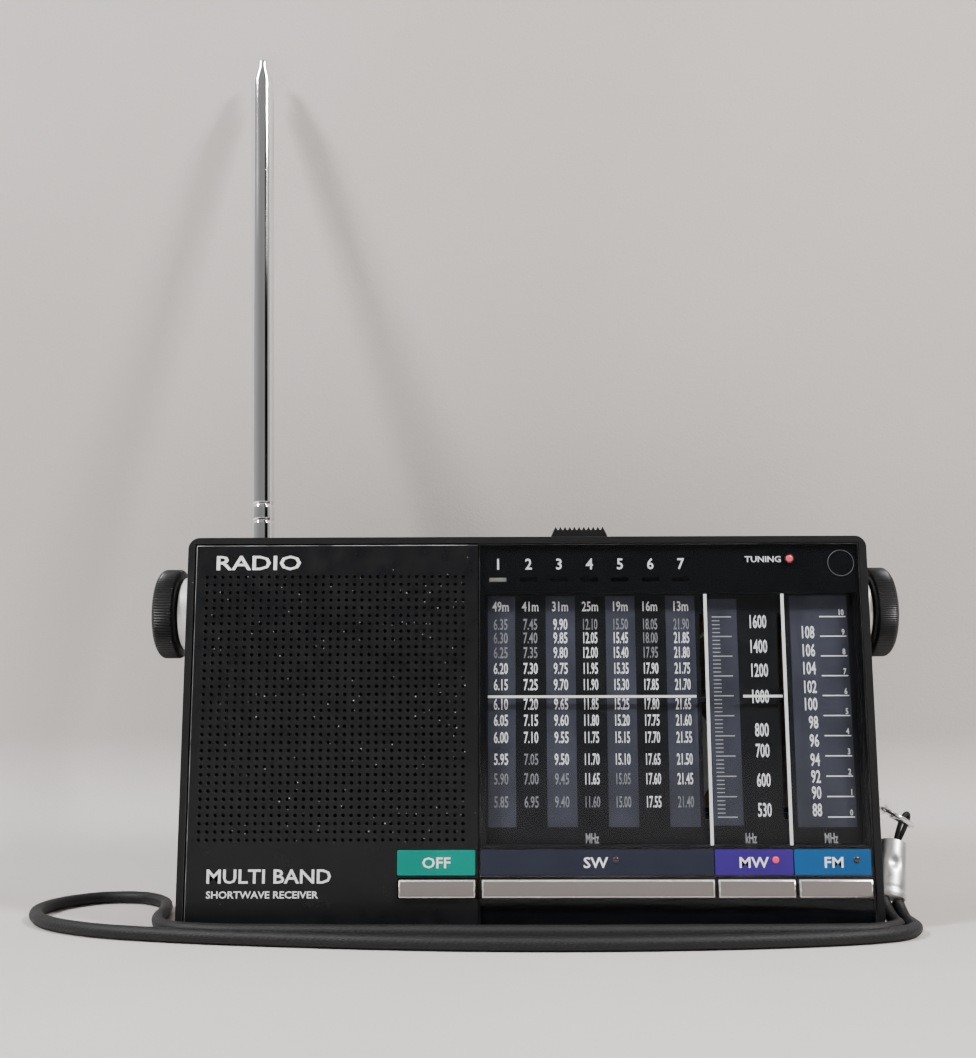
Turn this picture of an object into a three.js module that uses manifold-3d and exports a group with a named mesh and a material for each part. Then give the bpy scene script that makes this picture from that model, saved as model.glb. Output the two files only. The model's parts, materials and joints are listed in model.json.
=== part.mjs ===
// Pocket shortwave receiver with a telescopic antenna and a wrist strap.
// Millimetres, +Z up. The dial faces -Y, +X is to the right of someone who looks at it,
// and the origin is the middle of the base.

import * as THREE from 'three';
import { mergeVertices } from 'three/addons/utils/BufferGeometryUtils.js';
import Module from 'manifold-3d';

const wasm = await Module();
wasm.setup();

// ---------------------------------------------------------------- driving dimensions

const caseWidth = 119;
const caseHeight = 67;
const caseDepth = 24;
const wall = 1.6;
const cornerRadius = 2;
const screwRadius = 1;
const screwHeadRadius = 2.2;
const screwSink = 0.8;
const gap = 0.3;          // between neighbours that rest on or sit in each other
const runningGap = 0.1;   // between a shaft and its hole
const printGap = 0.05;    // between a thin sheet and the plate that it backs
const overrun = 2;        // how far a cutter runs past the face that it leaves

const side = caseWidth / 2;
const front = -caseDepth / 2;
const back = caseDepth / 2;
const innerSide = side - wall;
const innerTop = caseHeight - wall;
const innerBack = back - wall;

const screwPlaces = [
  [-side + 10, caseHeight - 14],
  [side - 10, caseHeight - 14],
  [side - 4.6, 9],
];

// Front shell: panels lie in a recess, on a sub-front.
const seamY = 2;
const rimSide = 1.2;
const rimTop = 1.1;
const rimBottom = 0.6;
const recessDepth = 1.3;
const subFrontThickness = 1.4;
const subFront = front + recessDepth;
const subFrontBack = subFront + subFrontThickness;
const panelLeft = -side + rimSide + gap;
const panelRight = side - rimSide - gap;
const panelTop = caseHeight - rimTop - gap;
const panelBottom = rimBottom + gap;
const panelSplitX = -8.4;
const panelSplitGap = 0.25;
const panelThickness = 1;

// Loudspeaker and the field of holes in front of it.
const grillePitch = 1.36;
const grilleCount = 34;
const grilleSpan = grillePitch * (grilleCount - 1);
const grilleLeft = panelLeft + 2;
const grilleTop = panelTop - 5.6;
const grilleSlot = 0.6;
const speakerX = grilleLeft + grilleSpan / 2;
const speakerZ = grilleTop - grilleSpan / 2;
const speakerRadius = 22.2;
const speakerMouthRadius = 20.5;
const speakerFlange = 1.2;
const basketThroat = 11;
const basketLength = 6.4;
const magnetRadius = 10;
const magnetLength = 6;
const coneRadius = 19;
const coneThroat = 4;
const coneLength = 4;
const paper = 0.5;

// Dial: clear window, printed mask, scale plate.
const windowThickness = 0.9;
const maskThickness = 0.2;
const dialLeft = panelSplitX + 1.2;
const dialRight = panelRight - 0.7;
const dialTop = caseHeight - 9.9;
const dialBottom = 14.1;
const scaleThickness = 0.6;
const scaleMargin = 0.5;
const scaleFront = subFrontBack + gap;
const scaleBack = scaleFront + scaleThickness;

// Band selector on the top, its white flag and the seven flag windows.
const bandCount = 7;
const bandPitch = 5.35;
const firstBandX = panelSplitX + 3.35;
const flagWindow = [3.0, 0.7];
const flagWindowZ = caseHeight - 7.5;
const flagArm = [1.8, 0.5];
const sliderOffset = 14.6;
const sliderY = -5;
const sliderLength = 10;
const sliderWidth = 6;
const sliderHeight = 2.1;
const sliderRidges = 11;
const ridgePitch = 0.84;
const stemLength = 3.6;
const stemThickness = 1.2;

// Labels, push buttons and indicator lamps.
const stripBottom = 9.2;
const stripTop = 13.6;
const stripDepth = 0.4;
const stripThickness = 0.35;
const stripLeft = panelSplitX - 13.95;
const buttonBottom = 5.75;
const buttonTop = 8.65;
const buttonProud = 0.8;
const buttonTravel = 0.7;
const buttonGap = 0.25;
const buttonLip = 0.5;
const buttonStem = 1.4;
const lampRadius = 0.6;
const lampBody = 1.2;
const lampZ = 11.8;
const tuningLampX = panelRight - 12;
const tuningLampZ = caseHeight - 4;

// Key board behind the buttons.
const keyBoardFront = -7.6;
const boardThickness = 1;
const keyBoardTop = 13.2;
const keyHousing = [4.4, 1.6, 4];

// Knobs, tuning spindle and dial cord.
const knobZ = caseHeight - 12.4;
const knobRadius = 8.15;
const knobLength = 4.1;
const knobChamfer = 0.8;
const ringRadius = 6.65;
const volumeRingLength = 1.85;
const tuningRingLength = 2.05;
const shaftRadius = 1.5;
const padHeight = 0.85;
const padLowZ = caseHeight - 30.2;
const padHighZ = caseHeight - 2;
const padHalfDepth = 6.5;
const cordThickness = 0.5;
const spindleCordRadius = 3.5;
const cordX = panelRight - 6;
const cordY = -spindleCordRadius;
const cordSlack = 0.1;
const pulleyFlange = 0.15;
const idlerCordRadius = 2.5;
const idlerRim = 0.4;
const idlerX = cordX - idlerCordRadius;
const upperIdlerZ = caseHeight - 6.5;
const lowerIdlerZ = dialBottom + 2.3;
const postRadius = 0.8;
const postEnd = cordY + 0.9;
const scaleLow = dialBottom + 4.6;
const scaleHigh = dialTop - 4;
const pointerTravel = scaleHigh - scaleLow;
const pointerRest = scaleLow + pointerTravel * 0.595;
const drumCordRadius = pointerTravel / Math.PI;
const drumX = panelSplitX + 30.4;
const drumZ = dialBottom + 14.9;
const drumRim = 0.65;
const capacitorSize = 18;
const capacitorFront = -1.9;

// Pointer: a carriage behind the scale plate, with two blades in front of it.
const bladeHeight = 0.42;
const bladeThickness = 0.4;
const bladeFront = front + 1.6;
const legWidth = 0.6;
const carriageHeight = 2.4;
const carriageFront = scaleBack + gap;
const carriageThickness = 0.9;
const shortwaveLegX = dialLeft + 38.2;
const mediumwaveLegX = shortwaveLegX + 13.6;
const mediumwaveBladeX = mediumwaveLegX - 7.2;
const bladeLeft = dialLeft + 0.35;

// Main board and what is on it.
const boardBack = innerBack - 1.8;
const mainBoardLow = 19;
const potRadius = 6;
const potLength = 7;
const ferriteRadius = 3.1;
const ferriteLength = 84;

// Cells, contacts and the cover behind them.
const cellRadius = 6.9;
const cellLength = 50.5;
const cellZ = 10;
const cellY = innerBack - 7.3;
const cellRightX = innerSide - 8.9;
const coverLow = 3.5;
const coverHigh = 17.1;
const coverLip = 0.8;
const coverRight = innerSide - 6.2;

// Antenna: step in the top rear edge, swivel base, five nested tubes.
const stepDepth = 5.8;
const stepHeight = 6.1;
const stepY = back - stepDepth;
const stepFloor = caseHeight - stepHeight;
const antennaX = -side + 9;
const antennaY = back - 2.8;
const pivotZ = caseHeight - 3.4;
const antennaLean = THREE.MathUtils.degToRad(1.5);
const sectionCount = 5;
const tubeRadius = 2.25;
const tubeStepRadius = 0.325;
const tubeWall = 0.25;
const tubeFoot = 4.6;
const tubePlug = 14;
const tubeTop = 101.7;
const tubeShoulder = 0.85;
const tipLength = 1.6;
const swivelRadius = 2.7;
const swivelFloor = 0.4;
const washerRadius = 2;
const washerThickness = 0.8;
const cheek = [3.2, 1.0, 4.1];
const tangThickness = 2;
const tangRadius = 1.6;
const pinRadius = 0.6;

// Strap: lug and wire ring on the right side, ferrule, cord.
const lugZ = 19.4;
const lugEyeX = side + 4;
const lugStemRadius = 1;
const lugEyeRadius = 1.7;
const wireRingRadius = 3;
const wireRadius = 0.4;
const ringSlope = THREE.MathUtils.degToRad(31);
const strapRadius = 1.15;
const ferruleTop = new THREE.Vector3(side + 5.9, 0, 13.5);
const ferruleEnd = new THREE.Vector3(side + 3.4, -4.3, 4.6);

// ---------------------------------------------------------------- helpers

const group = new THREE.Group();

/** A finish: colour, roughness and metalness. */
function finish(color, roughness, metalness = 0) {
  return new THREE.MeshStandardMaterial({ color, roughness, metalness });
}

const blackPlastic = finish(0x17181b, 0.5);
const blackPaint = finish(0x121316, 0.35);
const chrome = finish(0xd8d8da, 0.12, 1);
const silver = finish(0xb9b9b8, 0.3, 1);
const greyKey = finish(0x8f8884, 0.45, 0.3);
const white = finish(0xe6e4df, 0.5);
const clear = finish(0xaab4bb, 0.05);
const board = finish(0x6b4a24, 0.6);

function add(name, geometry, material, parent = group) {
  const mesh = new THREE.Mesh(geometry, material);
  mesh.name = name;
  parent.add(mesh);
  return mesh;
}

/** A closed manifold solid from a three.js geometry. */
function toSolid(geometry) {
  const bare = geometry.clone();
  bare.deleteAttribute('normal');
  bare.deleteAttribute('uv');
  const welded = mergeVertices(bare, 1e-4);
  return new wasm.Manifold(new wasm.Mesh({
    numProp: 3,
    vertProperties: new Float32Array(welded.attributes.position.array),
    triVerts: new Uint32Array(welded.index.array),
  }));
}

function toGeometry(solid) {
  const mesh = solid.getMesh();
  const geometry = new THREE.BufferGeometry();
  geometry.setAttribute('position', new THREE.BufferAttribute(mesh.vertProperties.slice(), 3));
  geometry.setIndex(new THREE.BufferAttribute(mesh.triVerts.slice(), 1));
  geometry.computeVertexNormals();
  return geometry;
}

function cut(body, ...tools) {
  return toGeometry(tools.reduce((solid, tool) => solid.subtract(toSolid(tool)), toSolid(body)));
}

function join(...pieces) {
  return toGeometry(pieces.map(toSolid).reduce((a, b) => a.add(b)));
}

/** A box between low and high values on each axis. */
function box([x0, x1], [y0, y1], [z0, z1]) {
  const shape = new THREE.BoxGeometry(x1 - x0, y1 - y0, z1 - z0);
  return shape.translate((x0 + x1) / 2, (y0 + y1) / 2, (z0 + z1) / 2);
}

/** Turns a shape whose axis is Y onto another axis, about its own origin. */
function turnTo(axis, geometry) {
  if (axis === 'x') geometry.rotateZ(-Math.PI / 2);
  if (axis === 'z') geometry.rotateX(Math.PI / 2);
  return geometry;
}

/** Moves a shape that lies on an axis sideways, by its two other coordinates. */
function shift(axis, geometry, [u, v]) {
  if (axis === 'x') return geometry.translate(0, u, v);
  if (axis === 'y') return geometry.translate(u, 0, v);
  return geometry.translate(u, v, 0);
}

function rod(axis, radius, [from, to], place, sides = 32) {
  const shape = new THREE.CylinderGeometry(radius, radius, to - from, sides);
  shape.translate(0, (from + to) / 2, 0);
  return shift(axis, turnTo(axis, shape), place);
}

/** A turned solid: the profile is [radius, place along the axis] pairs, from low to high. */
function turned(axis, profile, place, sides = 32) {
  const points = profile.map(([radius, along]) => new THREE.Vector2(radius, along));
  return shift(axis, turnTo(axis, new THREE.LatheGeometry(points, sides)), place);
}

/** A turned tube between two radii. */
function sleeve(axis, inner, outer, [from, to], place, sides = 32) {
  const profile = [[inner, from], [outer, from], [outer, to], [inner, to], [inner, from]];
  return turned(axis, profile, place, sides);
}

/** An outline in X and Z, carried along Y. */
function prism(shape, [y0, y1], curveSegments = 6) {
  const solid = new THREE.ExtrudeGeometry(shape, {
    depth: y1 - y0,
    bevelEnabled: false,
    curveSegments,
  });
  return solid.rotateX(Math.PI / 2).translate(0, y1, 0);
}

function roundedRectangle([x0, x1], [z0, z1], radius) {
  const shape = new THREE.Shape();
  shape.absarc(x1 - radius, z0 + radius, radius, -Math.PI / 2, 0, false);
  shape.absarc(x1 - radius, z1 - radius, radius, 0, Math.PI / 2, false);
  shape.absarc(x0 + radius, z1 - radius, radius, Math.PI / 2, Math.PI, false);
  shape.absarc(x0 + radius, z0 + radius, radius, Math.PI, 1.5 * Math.PI, false);
  shape.closePath();
  return shape;
}

/** The outline that a belt takes round circles [x, z, radius], listed anticlockwise. */
function beltOutline(circles, offset, Outline) {
  const outline = new Outline();
  const normals = circles.map(([x, z, radius], i) => {
    const [nextX, nextZ, nextRadius] = circles[(i + 1) % circles.length];
    const distance = Math.hypot(nextX - x, nextZ - z);
    const heading = Math.atan2(nextZ - z, nextX - x);
    return heading - Math.acos((radius - nextRadius) / distance);
  });
  circles.forEach(([x, z, radius], i) => {
    const start = normals[(i + circles.length - 1) % circles.length];
    outline.absarc(x, z, radius + offset, start, normals[i], false);
  });
  outline.closePath();
  return outline;
}

// ---------------------------------------------------------------- cabinet

const buttonEdges = [
  ['off', panelSplitX - 13.5, panelSplitX - 0.68],
  ['sw', panelSplitX + 0.5, panelSplitX + 39.5],
  ['mw', panelSplitX + 40.2, panelSplitX + 53],
  ['fm', panelSplitX + 53.7, panelRight - 0.5],
];

const lampPlaces = [
  ['sw', panelSplitX + 23.1, lampZ],
  ['mw', panelSplitX + 50, lampZ],
  ['fm', panelSplitX + 63.6, lampZ],
  ['tuning', tuningLampX, tuningLampZ],
];

const lastBandX = firstBandX + bandPitch * (bandCount - 1);
const stemX = firstBandX + sliderOffset;
const bandTravel = lastBandX - firstBandX;
const keyOpeningLow = buttonBottom - buttonLip - gap;

function caseBlock(yRange) {
  return prism(roundedRectangle([-side, side], [0, caseHeight], cornerRadius), yRange);
}

function frontCabinet() {
  const cavity = box([-innerSide, innerSide], [subFrontBack, seamY + overrun], [wall, innerTop]);
  const recess = box(
    [panelLeft - gap, panelRight + gap],
    [front - overrun, subFront],
    [panelBottom - gap, panelTop + gap],
  );
  const through = [subFront - overrun, subFrontBack + overrun];
  const speakerMouth = rod('y', speakerMouthRadius, through, [speakerX, speakerZ], 48);
  const dialMouth = box([dialLeft - gap, dialRight], through, [dialBottom, dialTop]);
  const keyMouth = box([buttonEdges[0][1] - gap, innerSide], through, [keyOpeningLow, keyBoardTop]);
  const flagMouth = box(
    [firstBandX - flagWindow[0], lastBandX + sliderOffset + stemLength],
    through,
    [flagWindowZ - flagArm[0] / 2 - gap, flagWindowZ + flagArm[0] / 2 + gap],
  );
  const lampHole = rod('y', lampBody + gap, through, [tuningLampX, tuningLampZ], 20);
  const stemSlot = box(
    [stemX - stemLength / 2 - gap, stemX + bandTravel + stemLength / 2 + gap],
    [sliderY - stemThickness / 2 - gap, sliderY + stemThickness / 2 + gap],
    [innerTop - overrun, caseHeight + overrun],
  );
  const leftWall = [-side - overrun, -innerSide + overrun];
  const rightWall = [innerSide - overrun, side + overrun];
  const volumeHole = rod('x', shaftRadius + gap, leftWall, [0, knobZ]);
  const tuningHole = rod('x', shaftRadius + gap, rightWall, [0, knobZ]);
  const lugHole = rod('x', lugStemRadius + gap, rightWall, [0, lugZ]);
  const post = rod('y', postRadius, [subFront + gap, postEnd], [idlerX, upperIdlerZ], 16);
  const shell = cut(
    caseBlock([front, seamY - gap / 2]),
    cavity, recess, speakerMouth, dialMouth, keyMouth, flagMouth, lampHole, stemSlot,
    volumeHole, tuningHole, lugHole,
  );
  return join(shell, post);
}

/** The battery cover's outline in Y and Z, grown all round, with its left end pushed out. */
function coverBlank(grow, leftEnd) {
  const plate = box(
    [leftEnd, coverRight + grow],
    [innerBack - gap, back],
    [coverLow - grow, coverHigh + grow],
  );
  const lipBack = innerBack - gap + (grow > 0 ? grow : 0);
  const lipFront = innerBack - gap - coverLip - grow;
  const tongue = box(
    [leftEnd, coverRight + grow],
    [lipFront, lipBack],
    [coverLow - coverLip - grow, coverHigh + coverLip + grow],
  );
  return join(plate, tongue);
}

function rearCabinet() {
  const cavity = cut(
    box([-innerSide, innerSide], [seamY - overrun, innerBack], [wall, innerTop]),
    box([-side, side], [stepY - wall, back], [stepFloor - wall, caseHeight]),
  );
  const step = box(
    [-side - overrun, side + overrun],
    [stepY, back + overrun],
    [stepFloor, caseHeight + overrun],
  );
  const coverPlateSlot = box(
    [-side - overrun, coverRight + gap],
    [innerBack - gap, back + overrun],
    [coverLow - gap, coverHigh + gap],
  );
  const coverEndSlot = coverBlank(gap, -side - overrun);
  const swivelHole = rod(
    'z',
    shaftRadius,
    [stepFloor - wall - overrun, stepFloor + overrun],
    [antennaX, antennaY],
    20,
  );
  const washerPocket = rod(
    'z',
    washerRadius + gap,
    [stepFloor - wall - washerThickness - 2 * gap, stepFloor - wall],
    [antennaX, antennaY],
    24,
  );
  const through = [innerBack - overrun, back + overrun];
  const screwHoles = screwPlaces.map((place) => rod('y', screwRadius + gap, through, place, 16));
  const sinks = screwPlaces.map((place) => (
    rod('y', screwHeadRadius + gap, [back - screwSink, back + overrun], place, 20)
  ));
  return cut(
    caseBlock([seamY + gap / 2, back]),
    cavity, step, coverPlateSlot, coverEndSlot, swivelHole, washerPocket, ...screwHoles, ...sinks,
  );
}

add('front_cabinet', frontCabinet(), blackPlastic);
add('rear_cabinet', rearCabinet(), blackPlastic);

screwPlaces.forEach(([x, z], i) => {
  const headBack = back - 0.2;
  const headFront = back - screwSink + gap;
  const shank = rod('y', screwRadius, [innerBack - 4, headFront + 0.1], [x, z], 16);
  const head = rod('y', screwHeadRadius, [headFront, headBack], [x, z], 20);
  const slot = box([x - 1.5, x + 1.5], [headBack - 0.2, headBack + overrun], [z - 0.25, z + 0.25]);
  add(`case_screw_${i + 1}`, cut(join(shank, head), slot), silver);
});

// ---------------------------------------------------------------- front panels

function buttonHole([, x0, x1]) {
  return box(
    [x0 - buttonGap, Math.min(x1 + buttonGap, panelRight + overrun)],
    [front - overrun, subFront],
    [buttonBottom - buttonGap, buttonTop + buttonGap],
  );
}

function grillePlate() {
  const right = panelSplitX - panelSplitGap / 2;
  const plate = box([panelLeft, right], [front, front + panelThickness], [panelBottom, panelTop]);
  const slots = Array.from({ length: grilleCount }, (_, i) => {
    const x = grilleLeft + i * grillePitch;
    return box(
      [x - grilleSlot / 2, x + grilleSlot / 2],
      [front - overrun, subFront],
      [grilleTop - grilleSpan, grilleTop],
    );
  });
  const recess = box(
    [stripLeft, right + overrun],
    [front - overrun, front + stripDepth],
    [stripBottom, stripTop],
  );
  return cut(plate, ...slots, recess, buttonHole(buttonEdges[0]));
}

/** The holes that the lamps' lenses stand in. */
function lampHoles(depthRange, lamps = lampPlaces) {
  return lamps.map(([, x, z]) => rod('y', lampRadius + 0.15, depthRange, [x, z], 16));
}

function dialWindow() {
  const left = panelSplitX + panelSplitGap / 2;
  const plate = box([left, panelRight], [front, front + windowThickness], [panelBottom, panelTop]);
  const recess = box(
    [left - overrun, panelRight - 0.3],
    [front - overrun, front + stripDepth],
    [stripBottom, stripTop],
  );
  const holes = lampHoles([front - overrun, subFront]);
  return cut(plate, recess, ...buttonEdges.slice(1).map(buttonHole), ...holes);
}

function dialMask() {
  const left = panelSplitX + panelSplitGap / 2;
  const maskFront = front + windowThickness + printGap;
  const plate = box(
    [left, panelRight],
    [maskFront, maskFront + maskThickness],
    [panelBottom, panelTop],
  );
  const dial = box([dialLeft, dialRight], [front, subFront + overrun], [dialBottom, dialTop]);
  const flags = Array.from({ length: bandCount }, (_, i) => {
    const x = firstBandX + i * bandPitch;
    return box(
      [x - flagWindow[0] / 2, x + flagWindow[0] / 2],
      [front, subFront + overrun],
      [flagWindowZ - flagWindow[1] / 2, flagWindowZ + flagWindow[1] / 2],
    );
  });
  const holes = lampHoles([front, subFront + overrun]);
  return cut(plate, dial, ...flags, ...buttonEdges.slice(1).map(buttonHole), ...holes);
}

function labelStrip([x0, x1], lamps) {
  const faceY = front + stripDepth - printGap;
  const strip = box([x0, x1], [faceY - stripThickness, faceY], [stripBottom + 0.1, stripTop - 0.1]);
  return cut(strip, ...lampHoles([front - overrun, subFront], lamps));
}

function scalePlate() {
  const plate = box(
    [dialLeft - 1.2, innerSide - gap],
    [scaleFront, scaleBack],
    [dialBottom - scaleMargin, dialTop + scaleMargin],
  );
  const legSlots = [shortwaveLegX, mediumwaveLegX].map((x) => box(
    [x - legWidth / 2 - gap, x + legWidth / 2 + gap],
    [scaleFront - overrun, scaleBack + overrun],
    [scaleLow - bladeHeight / 2 - gap, scaleHigh + bladeHeight / 2 + gap],
  ));
  const post = rod('y', postRadius, [scaleFront + gap, postEnd], [idlerX, lowerIdlerZ], 16);
  return join(cut(plate, ...legSlots), post);
}

add('grille_plate', grillePlate(), blackPaint);
add('dial_window', dialWindow(), clear);
add('dial_mask', dialMask(), blackPaint);
add('scale_plate', scalePlate(), blackPaint);
add('label_strip_off', labelStrip(
  [stripLeft + 0.1, panelSplitX - panelSplitGap - 0.4],
  [],
), finish(0x0f9c8c, 0.5));
add('label_strip_bands', labelStrip(
  [panelSplitX + panelSplitGap, panelRight - 0.4],
  lampPlaces.slice(0, 3),
), finish(0x4a3c98, 0.5));

// ---------------------------------------------------------------- lamps, buttons, key board

/** Two wires: back under the antenna step, down, and on to the main board. */
function lampLeads(x, z, bodyBack) {
  const bendY = stepY - wall - 2;
  const boardZ = stepFloor - wall - 2.3;
  return [x - 0.5, x + 0.5].flatMap((middle) => {
    const across = [middle - 0.2, middle + 0.2];
    return [
      box(across, [bodyBack - gap, bendY], [z - 0.2, z + 0.2]),
      box(across, [bendY - 0.4, bendY], [boardZ, z + 0.2]),
      box(across, [bendY - 0.4, boardBack - boardThickness - gap], [boardZ, boardZ + 0.4]),
    ];
  });
}

lampPlaces.forEach(([name, x, z]) => {
  const bodyFront = front + 2;
  const bodyBack = keyBoardFront - gap;
  const lens = rod('y', lampRadius, [front + printGap, bodyFront + gap], [x, z], 16);
  const body = rod('y', lampBody, [bodyFront, bodyBack], [x, z], 20);
  const pieces = [lens, body];
  if (name === 'tuning') pieces.push(...lampLeads(x, z, bodyBack));
  add(`led_${name}`, join(...pieces), finish(0xe0506a, 0.3));
});

add('key_board', box(
  [buttonEdges[0][1], innerSide - 0.9],
  [keyBoardFront, keyBoardFront + boardThickness],
  [wall + gap, keyBoardTop],
), board);

buttonEdges.forEach(([name, x0, x1]) => {
  const x = (x0 + x1) / 2;
  const z = (buttonBottom + buttonTop) / 2;
  const [width, depth, height] = keyHousing;
  const housingFront = keyBoardFront - runningGap - depth;
  const housing = box(
    [x - width / 2, x + width / 2],
    [housingFront, keyBoardFront - runningGap],
    [z - height / 2, z + height / 2],
  );
  const wellDepth = buttonTravel + 2 * gap - runningGap;
  const well = box(
    [x - buttonStem / 2 - gap, x + buttonStem / 2 + gap],
    [housingFront - overrun, housingFront + wellDepth],
    [z - buttonStem / 2 - gap, z + buttonStem / 2 + gap],
  );
  add(`key_switch_${name}`, cut(housing, well), blackPlastic);

  const capBack = subFront + gap / 2;
  const cap = box([x0, x1], [front - buttonProud, capBack], [buttonBottom, buttonTop]);
  const lip = box(
    [x0, x1],
    [capBack - printGap, capBack + 0.5],
    [buttonBottom - buttonLip, buttonTop + buttonLip],
  );
  const stem = box(
    [x - buttonStem / 2, x + buttonStem / 2],
    [capBack, housingFront + gap],
    [z - buttonStem / 2, z + buttonStem / 2],
  );
  add(`button_${name}`, join(cap, lip, stem), greyKey);
});

// ---------------------------------------------------------------- loudspeaker

const flangeFront = subFrontBack + gap / 2;
const flangeBack = flangeFront + speakerFlange;

function speakerFrame() {
  const basketBack = flangeBack + basketLength;
  const profile = [
    [speakerMouthRadius, flangeFront],
    [speakerRadius, flangeFront],
    [speakerRadius, flangeBack],
    [speakerMouthRadius, flangeBack],
    [basketThroat, basketBack],
    [magnetRadius, basketBack],
    [magnetRadius, basketBack + magnetLength],
    [0, basketBack + magnetLength],
    [0, basketBack - 1],
    [basketThroat - 1, basketBack - 1],
    [speakerMouthRadius - 0.8, flangeBack - 0.4],
    [speakerMouthRadius, flangeFront],
  ];
  return turned('y', profile, [speakerX, speakerZ], 40);
}

function speakerCone() {
  const profile = [
    [coneRadius, flangeFront],
    [coneThroat, flangeFront + coneLength],
    [0, flangeFront + coneLength - 1.5],
    [0, flangeFront + coneLength - 1.5 + paper],
    [coneThroat, flangeFront + coneLength + paper],
    [coneRadius, flangeFront + paper],
    [coneRadius, flangeFront],
  ];
  return turned('y', profile.reverse(), [speakerX, speakerZ], 40);
}

add('speaker_frame', speakerFrame(), silver);
add('speaker_cone', speakerCone(), finish(0x2a2724, 0.9));

// ---------------------------------------------------------------- boards and radio parts

const mainBoardTop = stepFloor - wall - 0.8;

add('main_board', cut(
  box(
    [panelSplitX + 1.4, innerSide - 0.9],
    [boardBack - boardThickness, boardBack],
    [mainBoardLow, mainBoardTop],
  ),
  ...screwPlaces.map((place) => (
    rod('y', screwRadius + gap, [boardBack - overrun, boardBack + overrun], place, 16)
  )),
), board);

add('tuning_capacitor', cut(
  box(
    [drumX - capacitorSize / 2, drumX + capacitorSize / 2],
    [capacitorFront, boardBack - boardThickness - gap],
    [drumZ - capacitorSize / 2, drumZ + capacitorSize / 2],
  ),
  rod('y', shaftRadius + runningGap, [capacitorFront - overrun, capacitorFront + 5], [drumX, drumZ], 20),
), finish(0x9aa0a0, 0.4));

add('volume_pot', cut(
  rod('x', potRadius, [-innerSide + gap, -innerSide + gap + potLength], [0, knobZ]),
  rod('x', shaftRadius + runningGap, [-innerSide, -innerSide + gap + potLength - 1], [0, knobZ], 20),
), finish(0x777a7c, 0.4, 0.8));

add('band_switch', box(
  [panelSplitX + 8.4, tuningLampX - lampBody - 1],
  [subFrontBack + gap, subFrontBack + gap + 2.8],
  [flagWindowZ + 1.9, innerTop - gap],
), finish(0x8d8f8e, 0.5, 0.6));

const ferriteEnd = cordX - 12;
add('ferrite_rod', rod(
  'x',
  ferriteRadius,
  [ferriteEnd - ferriteLength, ferriteEnd],
  [1, innerTop - ferriteRadius - 0.4],
  24,
), finish(0x2e2e30, 0.7));

// ---------------------------------------------------------------- tuning drive

const knobInner = side + gap + tuningRingLength + gap;
const knobOuter = knobInner + knobLength;

/** A chamfered disc's profile, whose narrow chamfer is at the inner end. */
function knobProfile(inner, outer) {
  return [
    [0, inner],
    [knobRadius - knobChamfer, inner],
    [knobRadius, inner + knobChamfer / 2],
    [knobRadius, outer - knobChamfer],
    [knobRadius - knobChamfer, outer],
    [0, outer],
  ];
}

const boreDepth = 2;
const spindleEnd = knobInner + boreDepth - gap;
const spindleRim = spindleCordRadius + 0.5;
const spindleGroove = spindleCordRadius - cordThickness / 2 - cordSlack;

add('tuning_knob', cut(
  turned('x', knobProfile(knobInner, knobOuter), [0, knobZ], 48),
  rod('x', shaftRadius + runningGap, [knobInner - overrun, knobInner + boreDepth], [0, knobZ], 20),
), blackPlastic);
add('tuning_ring', sleeve(
  'x',
  shaftRadius + runningGap,
  ringRadius,
  [side + gap, side + gap + tuningRingLength],
  [0, knobZ],
  40,
), silver);
add('tuning_spindle', turned('x', [
  [0, cordX - 4.5],
  [shaftRadius, cordX - 4.5],
  [shaftRadius, cordX - 1.9],
  [spindleRim, cordX - 1.9],
  [spindleRim, cordX - 1.5],
  [spindleGroove, cordX - 1.5],
  [spindleGroove, cordX + 1.5],
  [spindleRim, cordX + 1.5],
  [spindleRim, cordX + 1.9],
  [shaftRadius, cordX + 1.9],
  [shaftRadius, spindleEnd],
  [0, spindleEnd],
], [0, knobZ], 24), silver);

/** A pulley on a Y axis: groove between two thin flanges, with a hole or a shaft. */
function pulleyProfile(cordRadius, rim, bore) {
  const groove = cordRadius - cordThickness / 2 - cordSlack;
  const flange = cordRadius + rim;
  const halfGroove = cordThickness / 2 + printGap;
  const half = halfGroove + pulleyFlange;
  return [
    [bore, cordY - half],
    [flange, cordY - half],
    [flange, cordY - halfGroove],
    [groove, cordY - halfGroove],
    [groove, cordY + halfGroove],
    [flange, cordY + halfGroove],
    [flange, cordY + half],
    [bore, cordY + half],
  ];
}

const idlerProfile = pulleyProfile(idlerCordRadius, idlerRim, postRadius + runningGap);
idlerProfile.push(idlerProfile[0]);
add('idler_upper', turned('y', idlerProfile, [idlerX, upperIdlerZ], 24), white);
add('idler_lower', turned('y', idlerProfile, [idlerX, lowerIdlerZ], 24), white);
add('tuning_drum', join(
  turned('y', pulleyProfile(drumCordRadius, drumRim, 0), [drumX, drumZ], 48),
  rod('y', shaftRadius, [cordY, capacitorFront + 4], [drumX, drumZ], 20),
), white);

function dialCord() {
  const circles = [
    [drumX, drumZ, drumCordRadius],
    [idlerX, lowerIdlerZ, idlerCordRadius],
    [idlerX, upperIdlerZ, idlerCordRadius],
  ];
  const loop = beltOutline(circles, cordThickness / 2, THREE.Shape);
  loop.holes.push(beltOutline(circles, -cordThickness / 2, THREE.Path));
  const half = cordThickness / 2;
  const turns = [-0.45, 0.45].map((offset) => sleeve(
    'x', spindleCordRadius - half, spindleCordRadius + half,
    [cordX + offset - half, cordX + offset + half], [0, knobZ], 24,
  ));
  return join(prism(loop, [cordY - half, cordY + half], 16), ...turns);
}

add('dial_cord', dialCord(), finish(0xd8d2c4, 0.8));

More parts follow.
